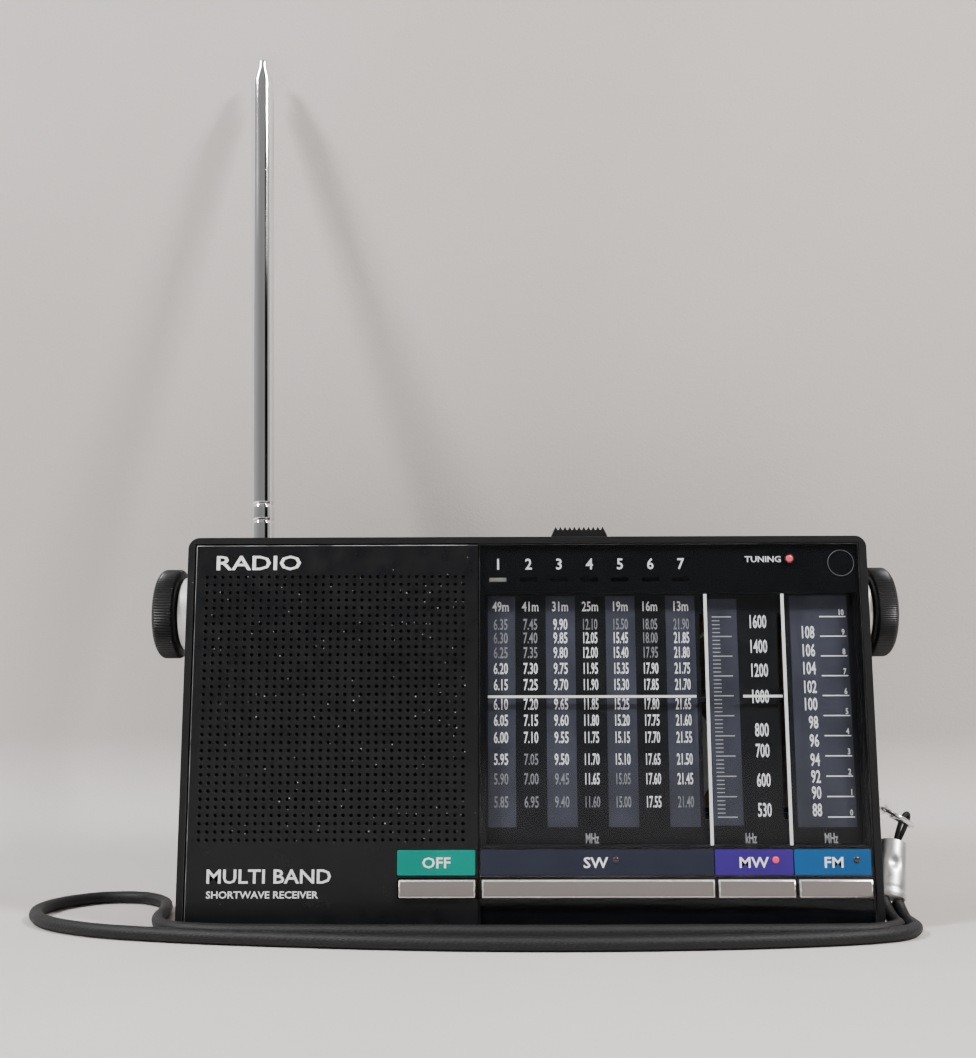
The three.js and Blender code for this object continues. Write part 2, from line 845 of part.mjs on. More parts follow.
function dialPointer() {
  const blade = (x0, x1) => box(
    [x0, x1],
    [bladeFront, bladeFront + bladeThickness],
    [pointerRest - bladeHeight / 2, pointerRest + bladeHeight / 2],
  );
  const leg = (x) => box(
    [x - legWidth / 2, x + legWidth / 2],
    [bladeFront, carriageFront + carriageThickness / 2],
    [pointerRest - bladeHeight / 2, pointerRest + bladeHeight / 2],
  );
  const halfHeight = carriageHeight / 2;
  const bar = box(
    [shortwaveLegX - legWidth, cordX + 1.1],
    [carriageFront, carriageFront + carriageThickness],
    [pointerRest - halfHeight, pointerRest + halfHeight],
  );
  const clip = box(
    [cordX - 1.1, cordX + 1.1],
    [carriageFront, cordY - cordThickness / 2 - gap],
    [pointerRest - halfHeight, pointerRest + halfHeight],
  );
  return join(
    blade(bladeLeft, shortwaveLegX + legWidth / 2),
    blade(mediumwaveBladeX, mediumwaveLegX + legWidth / 2),
    leg(shortwaveLegX),
    leg(mediumwaveLegX),
    bar,
    clip,
  );
}

add('dial_pointer', dialPointer(), white);

// ---------------------------------------------------------------- band selector

function bandSlider() {
  const base = caseHeight + gap;
  const ridgeBase = base + sliderHeight - 0.6;
  const half = sliderLength / 2;
  const outline = new THREE.Shape();
  outline.moveTo(stemX - half, base);
  outline.lineTo(stemX + half, base);
  outline.lineTo(stemX + half, base + 0.5);
  for (let i = 0; i < sliderRidges; i += 1) {
    const x = stemX + (sliderRidges - 1) / 2 * ridgePitch - i * ridgePitch;
    outline.lineTo(x + ridgePitch * 0.4, ridgeBase);
    outline.lineTo(x, base + sliderHeight);
    outline.lineTo(x - ridgePitch * 0.4, ridgeBase);
  }
  outline.lineTo(stemX - half, base + 0.5);
  outline.closePath();
  const grip = prism(outline, [sliderY - sliderWidth / 2, sliderY + sliderWidth / 2]);
  const armLow = flagWindowZ - flagArm[0] / 2;
  const armHigh = flagWindowZ + flagArm[0] / 2;
  const stem = box(
    [stemX - stemLength / 2, stemX + stemLength / 2],
    [sliderY - stemThickness / 2, sliderY + stemThickness / 2],
    [armLow, base + gap],
  );
  const armFront = front + windowThickness + maskThickness + 2 * printGap + gap;
  const arm = box(
    [firstBandX - flagWindow[0] / 2 - gap, stemX + stemLength / 2],
    [armFront, armFront + flagArm[1]],
    [armLow, armHigh],
  );
  const bridge = box(
    [stemX - stemLength / 2, stemX + stemLength / 2],
    [armFront, sliderY],
    [armLow, armHigh],
  );
  return join(grip, stem, arm, bridge);
}

add('band_slider', bandSlider(), blackPlastic);

// ---------------------------------------------------------------- volume control and side pad

const padFace = -side - gap / 3 - padHeight;
const volumeInner = padFace - gap - volumeRingLength - gap;
const jackPlace = [4, caseHeight - 26.5];

function sidePlate() {
  const outline = roundedRectangle([-padHalfDepth, padHalfDepth], [padLowZ, padHighZ], 1);
  const plate = new THREE.ExtrudeGeometry(outline, {
    depth: padHeight - 0.4,
    bevelThickness: 0.4,
    bevelSize: 0.4,
    bevelOffset: -0.4,
    bevelSegments: 1,
    curveSegments: 4,
  });
  plate.rotateX(Math.PI / 2).rotateZ(-Math.PI / 2);
  plate.computeBoundingBox();
  plate.translate(padFace - plate.boundingBox.min.x, 0, 0);
  const sunk = box([-side - gap / 3, -side + overrun], [-back, back], [0, caseHeight]);
  return cut(
    plate,
    sunk,
    rod('x', shaftRadius + gap, [padFace - overrun, -side + overrun], [0, knobZ], 24),
    rod('x', 1.9, [padFace - overrun, -side + overrun], jackPlace, 24),
  );
}

add('side_plate', sidePlate(), blackPlastic);
add('volume_ring', sleeve('x', shaftRadius + runningGap, ringRadius,
  [padFace - gap - volumeRingLength, padFace - gap], [0, knobZ], 40), silver);
add('volume_knob', join(
  turned('x', knobProfile(-volumeInner, -volumeInner + knobLength), [0, knobZ], 48).rotateZ(Math.PI),
  rod('x', shaftRadius, [volumeInner - 1, -innerSide + potLength - 1], [0, knobZ], 24),
), blackPlastic);

add('earphone_jack', sleeve(
  'x',
  1.75,
  3,
  [-innerSide + gap, -innerSide + gap + 9],
  jackPlace,
  24,
), blackPlastic);

// ---------------------------------------------------------------- cells, contacts, cover

const cellMiddle = cellRightX - cellLength - gap;

function cell(right) {
  const capLength = 1.2;
  return join(
    rod('x', cellRadius, [right - cellLength, right - capLength], [cellY, cellZ], 32),
    rod('x', 2.7, [right - cellLength / 2, right], [cellY, cellZ], 24),
  );
}

add('battery_cell_right', cell(cellRightX), finish(0x9c8b45, 0.35, 0.5));
add('battery_cell_left', cell(cellMiddle), finish(0x9c8b45, 0.35, 0.5));
add('battery_contact', join(
  box([cellRightX + gap, cellRightX + gap + 0.6], [cellY - 4, cellY + 4], [wall + gap, cellZ + 5]),
  box([cellRightX + gap, innerSide - gap], [cellY - 4, cellY + 4], [wall + gap, wall + gap + 0.6]),
), silver);

function batterySpring() {
  const from = -innerSide + gap + 0.4;
  const to = cellMiddle - cellLength - gap - 0.4;
  const turns = 3;
  const path = new THREE.CatmullRomCurve3(Array.from({ length: turns * 12 + 1 }, (_, i) => {
    const part = i / (turns * 12);
    const radius = 4.5 - 2 * part;
    const angle = part * turns * 2 * Math.PI;
    return new THREE.Vector3(
      from + (to - from) * part,
      cellY + radius * Math.cos(angle),
      cellZ + radius * Math.sin(angle),
    );
  }));
  const wire = new THREE.Shape();
  wire.absarc(0, 0, 0.35, 0, 2 * Math.PI, false);
  return new THREE.ExtrudeGeometry(wire, { extrudePath: path, steps: 72, curveSegments: 4 });
}

add('battery_spring', batterySpring(), silver);
add('battery_cover', cut(
  coverBlank(0, -side),
  box([-side - overrun, coverRight + overrun], [0, innerBack - gap], [coverLow + 1, coverHigh - 1]),
), blackPlastic);

// ---------------------------------------------------------------- antenna

const antenna = new THREE.Group();
antenna.position.set(antennaX, antennaY, pivotZ);
antenna.rotation.y = -antennaLean;
group.add(antenna);

function antennaBase() {
  const discLow = stepFloor + gap;
  const disc = turned('z', [
    [0, stepFloor - wall - gap - washerThickness],
    [washerRadius, stepFloor - wall - gap - washerThickness],
    [washerRadius, stepFloor - wall - gap],
    [shaftRadius - runningGap, stepFloor - wall - gap],
    [shaftRadius - runningGap, discLow],
    [swivelRadius, discLow],
    [swivelRadius, discLow + swivelFloor],
    [0, discLow + swivelFloor],
  ], [antennaX, antennaY], 24);
  const [width, thickness, height] = cheek;
  const inner = tangThickness / 2 + gap;
  const low = discLow + swivelFloor - printGap;
  const cheeks = [antennaY - inner - thickness, antennaY + inner].map((y) => box(
    [antennaX - width / 2, antennaX + width / 2],
    [y, y + thickness],
    [low, low + height],
  ));
  const pinHole = rod('y', pinRadius + runningGap, [antennaY - 4, antennaY + 4], [antennaX, pivotZ], 20);
  return cut(join(disc, ...cheeks), pinHole);
}

add('antenna_base', antennaBase(), chrome);
const pinHalf = tangThickness / 2 + gap + cheek[1] + 0.1;
add('antenna_pin', rod(
  'y',
  pinRadius,
  [antennaY - pinHalf, antennaY + pinHalf],
  [antennaX, pivotZ],
  20,
), silver);

/** Outer tube: eye and neck for the pin, plug with two rolled grooves, then the bore. */
function outerSection() {
  const groove = 0.18;
  const bore = tubeRadius - tubeWall;
  const profile = [
    [0, tubeFoot],
    [tubeRadius - 0.4, tubeFoot],
    [tubeRadius, tubeFoot + 0.4],
  ];
  [9.2, 12.4].forEach((start) => {
    profile.push([tubeRadius, start]);
    profile.push([tubeRadius - groove, start + 0.3]);
    profile.push([tubeRadius - groove, start + 0.7]);
    profile.push([tubeRadius, start + 1]);
  });
  profile.push([tubeRadius, tubeTop - 0.3]);
  profile.push([tubeRadius - 0.15, tubeTop]);
  profile.push([bore, tubeTop]);
  profile.push([bore, tubePlug]);
  profile.push([0, tubePlug]);
  const tube = turned('z', profile, [0, 0], 24);
  const eye = rod('y', tangRadius, [-tangThickness / 2, tangThickness / 2], [0, 0], 24);
  const neck = box([-tangRadius, tangRadius], [-tangThickness / 2, tangThickness / 2], [0, tubeFoot + gap]);
  const pinHole = rod('y', pinRadius + runningGap, [-tangThickness, tangThickness], [0, 0], 20);
  return cut(join(tube, neck, eye), pinHole);
}

/** An inner tube: each stands a little out of the one before, and the last is a solid tip. */
function innerSection(index) {
  const outer = tubeRadius - index * tubeStepRadius;
  const low = tubePlug + index * gap;
  const high = tubeTop + index * tubeShoulder;
  if (index === sectionCount - 1) {
    return turned('z', [
      [0, low],
      [outer, low],
      [outer, high + tipLength - 1],
      [outer * 0.7, high + tipLength - 0.4],
      [0, high + tipLength - 0.2],
    ], [0, 0], 24);
  }
  return sleeve('z', outer - tubeWall, outer, [low, high], [0, 0], 24);
}

add('antenna_section_1', outerSection(), chrome, antenna);
for (let index = 1; index < sectionCount; index += 1) {
  add(`antenna_section_${index + 1}`, innerSection(index), chrome, antenna);
}

// ---------------------------------------------------------------- strap

function strapLug() {
  return cut(
    join(
      rod('x', lugStemRadius, [innerSide - 1, lugEyeX - 1], [0, lugZ], 20),
      rod('x', lugEyeRadius, [side + gap, side + gap + 0.7], [0, lugZ], 24),
      rod('y', lugEyeRadius, [-0.8, 0.8], [lugEyeX, lugZ], 24),
    ),
    rod('y', lugEyeRadius - 0.75, [-overrun, overrun], [lugEyeX, lugZ], 20),
  );
}

add('strap_lug', strapLug(), silver);

const wireRing = new THREE.TorusGeometry(wireRingRadius, wireRadius, 8, 32);
wireRing.rotateY(ringSlope);
wireRing.translate(
  lugEyeX + wireRingRadius * Math.cos(ringSlope),
  0,
  lugZ - wireRingRadius * Math.sin(ringSlope),
);
add('strap_ring', wireRing, silver);

const ferruleAxis = ferruleEnd.clone().sub(ferruleTop).normalize();
const ferruleAcross = new THREE.Vector3(1, 0, 0);
ferruleAcross.addScaledVector(ferruleAxis, -ferruleAcross.dot(ferruleAxis)).normalize();

function strapFerrule() {
  const length = ferruleEnd.distanceTo(ferruleTop);
  const shape = new THREE.CylinderGeometry(2.2, 2.6, length, 24);
  shape.scale(1, 1, 0.66);
  const up = ferruleAxis.clone().negate();
  const deep = new THREE.Vector3().crossVectors(ferruleAcross, up);
  const middle = ferruleTop.clone().add(ferruleEnd).multiplyScalar(0.5);
  const frame = new THREE.Matrix4().makeBasis(ferruleAcross, up, deep).setPosition(middle);
  return shape.applyMatrix4(frame);
}

add('strap_ferrule', strapFerrule(), silver);

/** The strap's own points: down out of the ferrule, along the front, round a loop and back. */
const strapRoute = [
  [63.92, -4.66, 3.88],
  [64.15, -5.6, 2.6],
  [64.25, -7.6, 1.45],
  [64.3, -10.4, 1.2],
  [63.6, -14.6, 1.2],
  [60.4, -18.8, 1.2],
  [54, -22, 1.2],
  [42, -25, 1.2],
  [25, -27.3, 1.2],
  [5, -28.3, 1.2],
  [-15, -27.5, 1.2],
  [-38, -24.4, 1.2],
  [-58, -20.4, 1.2],
  [-73, -15.2, 1.2],
  [-83.5, -7, 1.2],
  [-88.6, 4, 1.2],
  [-87.2, 14, 1.2],
  [-81.5, 20, 1.2],
  [-74, 19.8, 1.2],
  [-68.4, 13.8, 1.2],
  [-65.6, 4.5, 1.2],
  [-64.2, -5, 1.2],
  [-60.8, -12.6, 1.2],
  [-53, -16, 1.2],
  [-40, -17, 1.2],
  [-20, -17.6, 1.2],
  [5, -18, 1.2],
  [30, -17.5, 1.2],
  [48, -17.1, 1.2],
  [57.4, -15.9, 1.2],
  [61.5, -12.2, 1.2],
  [62, -8, 1.5],
  [61.75, -5.6, 2.9],
  [61.6, -4.42, 4.38],
].map(([x, y, z]) => new THREE.Vector3(x, y, z));

function strapCord() {
  const path = new THREE.CatmullRomCurve3(strapRoute, false, 'centripetal');
  const section = new THREE.Shape();
  section.absarc(0, 0, strapRadius, 0, 2 * Math.PI, false);
  return new THREE.ExtrudeGeometry(section, { extrudePath: path, steps: 80, curveSegments: 4 });
}

add('strap_cord', strapCord(), finish(0x18181a, 0.9));

export default group;
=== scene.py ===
# %% [markdown]
# # A pocket shortwave receiver
# The receiver is a flat black box that stands on its long edge. A telescopic antenna rises
# behind it, a knob stands out of each end, and a braided wrist strap lies in front of it.
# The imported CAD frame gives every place. This lesson adds the visible surfaces to it.

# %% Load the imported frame
import json
import math

import bmesh
import bpy
import numpy as np
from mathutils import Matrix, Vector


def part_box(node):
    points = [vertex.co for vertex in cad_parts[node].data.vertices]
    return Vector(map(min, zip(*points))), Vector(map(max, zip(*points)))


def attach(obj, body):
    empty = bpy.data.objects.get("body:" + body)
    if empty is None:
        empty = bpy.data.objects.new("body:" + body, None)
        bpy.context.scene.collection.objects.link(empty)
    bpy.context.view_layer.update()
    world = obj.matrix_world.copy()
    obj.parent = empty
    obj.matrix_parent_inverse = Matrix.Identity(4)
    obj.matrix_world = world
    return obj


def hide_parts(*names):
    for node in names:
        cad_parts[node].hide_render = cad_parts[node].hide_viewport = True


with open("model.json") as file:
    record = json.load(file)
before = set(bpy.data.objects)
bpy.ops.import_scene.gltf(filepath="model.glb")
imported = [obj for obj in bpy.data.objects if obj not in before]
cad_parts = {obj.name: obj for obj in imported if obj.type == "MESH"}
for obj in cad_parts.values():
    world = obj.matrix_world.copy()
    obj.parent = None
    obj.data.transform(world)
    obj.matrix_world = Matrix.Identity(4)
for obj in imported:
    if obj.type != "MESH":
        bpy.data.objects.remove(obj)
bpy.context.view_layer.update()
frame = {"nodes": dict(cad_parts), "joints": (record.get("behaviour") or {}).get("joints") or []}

MM = 0.001

# %% [markdown]
# Sizes are easier to read in millimetres, so the shapes are worked out in millimetres and
# turned to metres when a mesh is made. Places come from the boxes of the CAD nodes.

# %% Places of the CAD nodes


def corners(node):
    """The lowest and the highest corner of a CAD node, in millimetres."""
    return [np.array(corner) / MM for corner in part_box(node)]


def middle(node):
    """The middle of a CAD node's box, in millimetres."""
    low, high = corners(node)
    return (low + high) / 2


front_y = corners("grille_plate")[0][1]
back_y = corners("battery_cover")[1][1]
print("front", round(front_y, 2), "back", round(back_y, 2))

# %% [markdown]
# ## The camera
# It looks at the front from about twenty centimetres, from a little left of the middle and
# with a slight upward tilt. Its axes are set from the direction that it looks in and from
# the direction that lies to its right.

# %% Camera
FRAME_LONG_SIDE = 1058
FOCAL_LENGTH = 1200
camera_data = bpy.data.cameras.new("camera")
camera_data.angle = 2 * math.atan(FRAME_LONG_SIDE / 2 / FOCAL_LENGTH)
camera = bpy.data.objects.new("camera", camera_data)
bpy.context.scene.collection.objects.link(camera)
bpy.context.scene.camera = camera


def aim(look, rightward, place):
    """A camera matrix: its columns are right, up, backwards and the place."""
    look = np.array(look) / np.linalg.norm(look)
    right = np.array(rightward) - np.dot(rightward, look) * look
    right = right / np.linalg.norm(right)
    matrix = np.eye(4)
    matrix[:3, 0] = right
    matrix[:3, 1] = np.cross(right, look)
    matrix[:3, 2] = -look
    matrix[:3, 3] = np.array(place) * MM
    return matrix


camera_place = (-4.92, front_y - 208.7, 35.8)
camera.matrix_world = aim((-0.0087, 0.988, 0.1543), (1.0, 0.0091, -0.0023), camera_place).T
camera_data.clip_start = 0.005
print("field of view", round(math.degrees(camera_data.angle), 1))

# %% [markdown]
# ## Meshes from arrays
# A surface is a grid of points: rows along one parameter and columns along the other. The
# faces of a grid are always numbered in the same way, so one function makes them, and
# another one makes a finished piece out of one or more grids.

# %% Grid faces


def grid_faces(rows, columns, wrap_rows=False, wrap_columns=False):
    """Quads that join each grid point to the next row and the next column."""
    row = np.arange(rows if wrap_rows else rows - 1)
    column = np.arange(columns if wrap_columns else columns - 1)
    row, column = (a.ravel() for a in np.meshgrid(row, column, indexing="ij"))
    next_row = (row + 1) % rows
    next_column = (column + 1) % columns
    corner = [(row, column), (row, next_column), (next_row, next_column), (next_row, column)]
    return np.stack([r * columns + c for r, c in corner], axis=1)


def skin(points, wrap_rows=False, wrap_columns=True, lids=True, finish=0):
    """A grid of points as (vertices, faces, finish). Lids close its first and last row."""
    rows, columns = points.shape[:2]
    faces = grid_faces(rows, columns, wrap_rows, wrap_columns).tolist()
    if lids and not wrap_rows:
        faces.append(list(range(columns))[::-1])
        faces.append(list(range((rows - 1) * columns, rows * columns)))
    return points.reshape(-1, 3), faces, finish


# %% [markdown]
# A piece is one object. Its doubles are merged, so that seams and poles close, and its
# normals are worked out again, so that they all point outwards. Flat faces keep flat
# shading, because the Weighted Normal modifier lets large faces decide.

# %% Make a piece


def make_piece(name, skins, body, finishes, replaces=(), sharp=35, weighted=True, merge=1e-7):
    """An object of one or more skins, given in millimetres, that rides on a body."""
    vertices, faces, marks, start = [], [], [], 0
    for points, quads, finish in skins:
        vertices.append(points)
        faces.extend([[i + start for i in quad] for quad in quads])
        marks.append(np.full(len(quads), finish))
        start += len(points)
    mesh = bpy.data.meshes.new(name)
    mesh.from_pydata((np.concatenate(vertices) * MM).tolist(), [], faces)
    mesh.polygons.foreach_set("material_index", np.concatenate(marks).astype(np.int32))
    work = bmesh.new()
    work.from_mesh(mesh)
    bmesh.ops.remove_doubles(work, verts=work.verts, dist=merge)
    bmesh.ops.dissolve_degenerate(work, edges=work.edges, dist=merge)
    bmesh.ops.recalc_face_normals(work, faces=work.faces)
    work.to_mesh(mesh)
    work.free()
    return place_mesh(name, mesh, body, finishes, replaces, sharp, weighted)


def place_mesh(name, mesh, body, finishes, replaces=(), sharp=35, weighted=True):
    """Links a finished mesh as an object, with its materials and body, and hides the frame nodes that it
    replaces.
    """
    for finish in finishes:
        mesh.materials.append(finish)
    mesh.shade_smooth()
    mesh.set_sharp_from_angle(angle=math.radians(sharp))
    piece = bpy.data.objects.new(name, mesh)
    bpy.context.scene.collection.objects.link(piece)
    if weighted:
        normals = piece.modifiers.new("flat faces", "WEIGHTED_NORMAL")
        normals.keep_sharp = True
    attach(piece, body)
    if replaces:
        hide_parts(*replaces)
    return piece


# %% [markdown]
# ## The strap
# A round braided cord, closed into a wrist loop: both of its ends go into one metal
# ferrule. It leaves the ferrule downwards, runs along the front on the table, turns in a
# loose loop past the left end and comes back. The chosen points lie on one smooth
# centripetal Catmull-Rom curve, the same curve that the frame's plain tube follows.

# %% Strap route
strap_route = np.array([
    (63.92, -4.66, 3.88), (64.15, -5.6, 2.6), (64.25, -7.6, 1.45), (64.3, -10.4, 1.2),
    (63.6, -14.6, 1.2), (60.4, -18.8, 1.2), (54, -22, 1.2), (42, -25, 1.2),
    (25, -27.3, 1.2), (5, -28.3, 1.2), (-15, -27.5, 1.2), (-38, -24.4, 1.2),
    (-58, -20.4, 1.2), (-73, -15.2, 1.2), (-83.5, -7, 1.2), (-88.6, 4, 1.2),
    (-87.2, 14, 1.2), (-81.5, 20, 1.2), (-74, 19.8, 1.2), (-68.4, 13.8, 1.2),
    (-65.6, 4.5, 1.2), (-64.2, -5, 1.2), (-60.8, -12.6, 1.2), (-53, -16, 1.2),
    (-40, -17, 1.2), (-20, -17.6, 1.2), (5, -18, 1.2), (30, -17.5, 1.2),
    (48, -17.1, 1.2), (57.4, -15.9, 1.2), (61.5, -12.2, 1.2), (62, -8, 1.5),
    (61.75, -5.6, 2.9), (61.6, -4.42, 4.38),
])
STRAP_RADIUS = 1.15


def centripetal(points, samples=60):
    """Cubic pieces between the points. Each piece's end slopes come from its neighbours,
    weighed by the square roots of the distances between them."""
    before = 2 * points[0] - points[1]
    after = 2 * points[-1] - points[-2]
    all_points = np.vstack([before, points, after])
    spans = np.sqrt(np.linalg.norm(np.diff(all_points, axis=0), axis=1))[:, None]
    p0, p1, p2, p3 = all_points[:-3], all_points[1:-2], all_points[2:-1], all_points[3:]
    d0, d1, d2 = spans[:-2], spans[1:-1], spans[2:]
    slope1 = ((p1 - p0) / d0 - (p2 - p0) / (d0 + d1) + (p2 - p1) / d1) * d1
    slope2 = ((p2 - p1) / d1 - (p3 - p1) / (d1 + d2) + (p3 - p2) / d2) * d1
    t = np.linspace(0, 1, samples, endpoint=False)[None, :, None]
    p1, p2, slope1, slope2 = (a[:, None, :] for a in (p1, p2, slope1, slope2))
    cubic = (2 * p1 - 2 * p2 + slope1 + slope2) * t**3
    square = (-3 * p1 + 3 * p2 - 2 * slope1 - slope2) * t**2
    return np.vstack([(cubic + square + slope1 * t + p1).reshape(-1, 3), points[-1:]])


def evenly(points, step):
    """The same line with its points an even step apart, and its running length."""
    run = np.concatenate([[0], np.cumsum(np.linalg.norm(np.diff(points, axis=0), axis=1))])
    places = np.linspace(0, run[-1], int(round(run[-1] / step)) + 1)
    return np.stack([np.interp(places, run, points[:, i]) for i in range(3)], axis=1), places


strap_line, strap_run = evenly(centripetal(strap_route), 0.24)

# %% [markdown]
# A tube is a circle carried along a line. At each point the circle lies across the line's
# direction, with one axis kept level. The strap's braid is part of its shape: two sets of
# strands wind round it in opposite directions, and the radius follows whichever is higher.

# %% Tubes and the braid


def tube_points(line, radius, sides, closed=False, level=(0, 0, 1)):
    """A circle carried along a line, with one axis at right angles to a fixed direction.
    radius is one number, or an array over points and sides."""
    if closed:
        along = np.roll(line, -1, axis=0) - np.roll(line, 1, axis=0)
    else:
        along = np.gradient(line, axis=0)
    along = along / np.linalg.norm(along, axis=1, keepdims=True)
    across = np.cross(along, np.array(level, float))
    across = across / np.linalg.norm(across, axis=1, keepdims=True)
    upward = np.cross(across, along)
    turn = np.arange(sides) / sides * 2 * np.pi
    radius = np.broadcast_to(np.asarray(radius, float), (len(line), sides))[..., None]
    circle = np.cos(turn)[None, :, None] * across[:, None] + np.sin(turn)[None, :, None] * upward[:, None]
    return line[:, None] + radius * circle


def braid_radius(run, sides, radius, strands, pitch, depth):
    """Two ridged waves that wind in opposite directions. The higher of the two wins."""
    turn = np.arange(sides)[None, :] / sides * 2 * np.pi
    wind = run[:, None] / pitch * np.pi
    left = np.abs(np.sin(strands / 2 * turn + wind))
    right = np.abs(np.sin(strands / 2 * turn - wind))
    return radius * (1 - depth * (1 - np.maximum(left, right)) - depth * 0.4 * (1 - left * right))


# %% [markdown]
# ## Finishes
# Every finish is worked out from the piece's own coordinates. Slow noise mottles the
# colour and the roughness, fine noise raises a grain, and Voronoi cells scatter a few
# specks of dust. On some pieces the Bevel modifier gives the narrow new faces of the edges
# a paler finish of their own: partly rubbed wear, partly a painted edge highlight.

# %% Node helpers


class Finish:
    """A material with a Principled shader, and short ways to add nodes to it."""

    def __init__(self, name, **sockets):
        self.material = bpy.data.materials.new(name)
        self.material.use_nodes = True
        self.tree = self.material.node_tree
        self.shader = self.tree.nodes["Principled BSDF"]
        self.coordinates = self.tree.nodes.new("ShaderNodeTexCoord")
        self.place = self.coordinates.outputs["Object"]
        for socket, value in sockets.items():
            self.shader.inputs[socket.replace("_", " ")].default_value = value

    def link(self, source, node, socket):
        self.tree.links.new(source, node.inputs[socket])

    def stretched(self, scale):
        """The piece's coordinates, drawn out along its axes."""
        node = self.tree.nodes.new("ShaderNodeMapping")
        node.inputs["Scale"].default_value = scale
        self.link(self.place, node, "Vector")
        return node.outputs["Vector"]

    def noise(self, size, detail=3.0, vector=None):
        """Cloudy noise whose clouds are about size millimetres across."""
        node = self.tree.nodes.new("ShaderNodeTexNoise")
        node.inputs["Scale"].default_value = 1 / (size * MM)
        node.inputs["Detail"].default_value = detail
        self.link(vector or self.place, node, "Vector")
        return node.outputs["Fac"]

    def specks(self, spacing, width, share):
        """Sparse round specks: near a cell's middle, in a share of the cells."""
        node = self.tree.nodes.new("ShaderNodeTexVoronoi")
        node.inputs["Scale"].default_value = 1 / (spacing * MM)
        self.link(self.place, node, "Vector")
        near = self.span(node.outputs["Distance"], width, width * 0.5, 0, 1)
        chosen = self.span(self.split(node.outputs["Color"]), share, share * 0.9, 0, 1)
        return self.times(near, chosen)

    def split(self, colour):
        node = self.tree.nodes.new("ShaderNodeSeparateColor")
        self.link(colour, node, "Color")
        return node.outputs["Red"]

    def axis(self, name):
        """One of the piece's own coordinates, in metres."""
        node = self.tree.nodes.new("ShaderNodeSeparateXYZ")
        self.link(self.place, node, "Vector")
        return node.outputs[name]

    def span(self, value, low, high, to_low, to_high):
        """Moves the range low..high to another range, and stops at its ends."""
        node = self.tree.nodes.new("ShaderNodeMapRange")
        for socket, number in zip(("From Min", "From Max", "To Min", "To Max"), (low, high, to_low, to_high)):
            node.inputs[socket].default_value = number
        self.link(value, node, "Value")
        return node.outputs["Result"]

    def math(self, operation, a, b):
        node = self.tree.nodes.new("ShaderNodeMath")
        node.operation = operation
        for i, value in enumerate((a, b)):
            if isinstance(value, (int, float)):
                node.inputs[i].default_value = value
            else:
                self.tree.links.new(value, node.inputs[i])
        return node.outputs["Value"]

    def times(self, a, b):
        return self.math("MULTIPLY", a, b)

    def mix(self, share, first, second):
        """A colour between two colours, each a socket or three numbers."""
        node = self.tree.nodes.new("ShaderNodeMix")
        node.data_type = "RGBA"
        for i, value in ((0, share), (6, first), (7, second)):
            if isinstance(value, (int, float)):
                node.inputs[i].default_value = value
            elif isinstance(value, tuple):
                node.inputs[i].default_value = (*value, 1)
            else:
                self.tree.links.new(value, node.inputs[i])
        return node.outputs[2]

    def bump(self, height, depth, after=None):
        """Raises the surface by depth millimetres where height is 1."""
        node = self.tree.nodes.new("ShaderNodeBump")
        node.inputs["Distance"].default_value = depth * MM
        self.link(height, node, "Height")
        if after is not None:
            self.link(after, node, "Normal")
        return node.outputs["Normal"]

    def colour(self, source):
        self.link(source, self.shader, "Base Color")

    def roughness(self, source):
        self.link(source, self.shader, "Roughness")

    def normal(self, source):
        self.link(source, self.shader, "Normal")


def shade(colour, factor):
    return tuple(min(1.0, c * factor) for c in colour)


DUST = (0.33, 0.31, 0.29)


def surface(name, colour, rough, mottle=0.12, cloud=7, grain=0.006, grain_size=0.18, dust=0.0,
            stretch=None, rough_swing=0.25, **sockets):
    """A general finish: mottled colour, uneven roughness, grain and dust specks."""
    finish = Finish(name, **sockets)
    vector = finish.stretched(stretch) if stretch else None
    clouds = finish.noise(cloud, 4, vector)
    tone = finish.mix(
        finish.span(clouds, 0.35, 0.65, 0, 1), shade(colour, 1 - mottle), shade(colour, 1 + mottle)
    )
    smears = finish.noise(cloud * 0.4, 5, vector)
    uneven = finish.span(smears, 0.3, 0.7, rough * (1 - rough_swing), min(1, rough * (1 + rough_swing)))
    if dust:
        fluff = finish.specks(1.3, 0.085, dust)
        tone = finish.mix(fluff, tone, DUST)
        uneven = finish.math("MAXIMUM", uneven, finish.times(fluff, 0.8))
    finish.colour(tone)
    finish.roughness(uneven)
    if grain:
        fine = finish.noise(grain_size, 2, vector)
        finish.normal(finish.bump(fine, grain))
    return finish.material


# %% Plastics and paints
case_black = surface("case black plastic", (0.0052, 0.0054, 0.0062), 0.46, mottle=0.06, grain=0.008,
                     grain_size=0.22, dust=0.05, rough_swing=0.1, Specular_IOR_Level=0.24)
# Paler bevel faces on the case's edges: partly rubbed wear, partly a painted edge highlight.
case_edge_wear_and_highlight = surface("case rubbed edge and painted highlight", (0.03, 0.03, 0.032), 0.4, mottle=0.7, cloud=3, grain=0.004,
                    Specular_IOR_Level=0.35)
grille_paint = surface("grille satin paint", (0.0048, 0.0051, 0.006), 0.34, grain=0.004, grain_size=0.4,
                       dust=0.05, Specular_IOR_Level=0.24)
# Pale grey bevel faces on the grille panel and the window: partly rubbed wear, partly a painted edge
# highlight.
panel_edge_wear_and_highlight = surface("panel rubbed edge and painted highlight", (0.17, 0.17, 0.175), 0.36, mottle=0.75, cloud=4, grain=0.003)
mask_gloss = surface("mask gloss print", (0.004, 0.0044, 0.0054), 0.2, grain=0, rough_swing=0.35,
                     Specular_IOR_Level=0.2)
knob_black = surface("knob black plastic", (0.008, 0.0083, 0.0092), 0.38, grain=0.006, dust=0.1,
                     Specular_IOR_Level=0.32)
pad_black = surface("side pad plastic", (0.009, 0.0093, 0.0105), 0.5, grain=0.014, grain_size=0.16,
                    dust=0.1, Specular_IOR_Level=0.28)
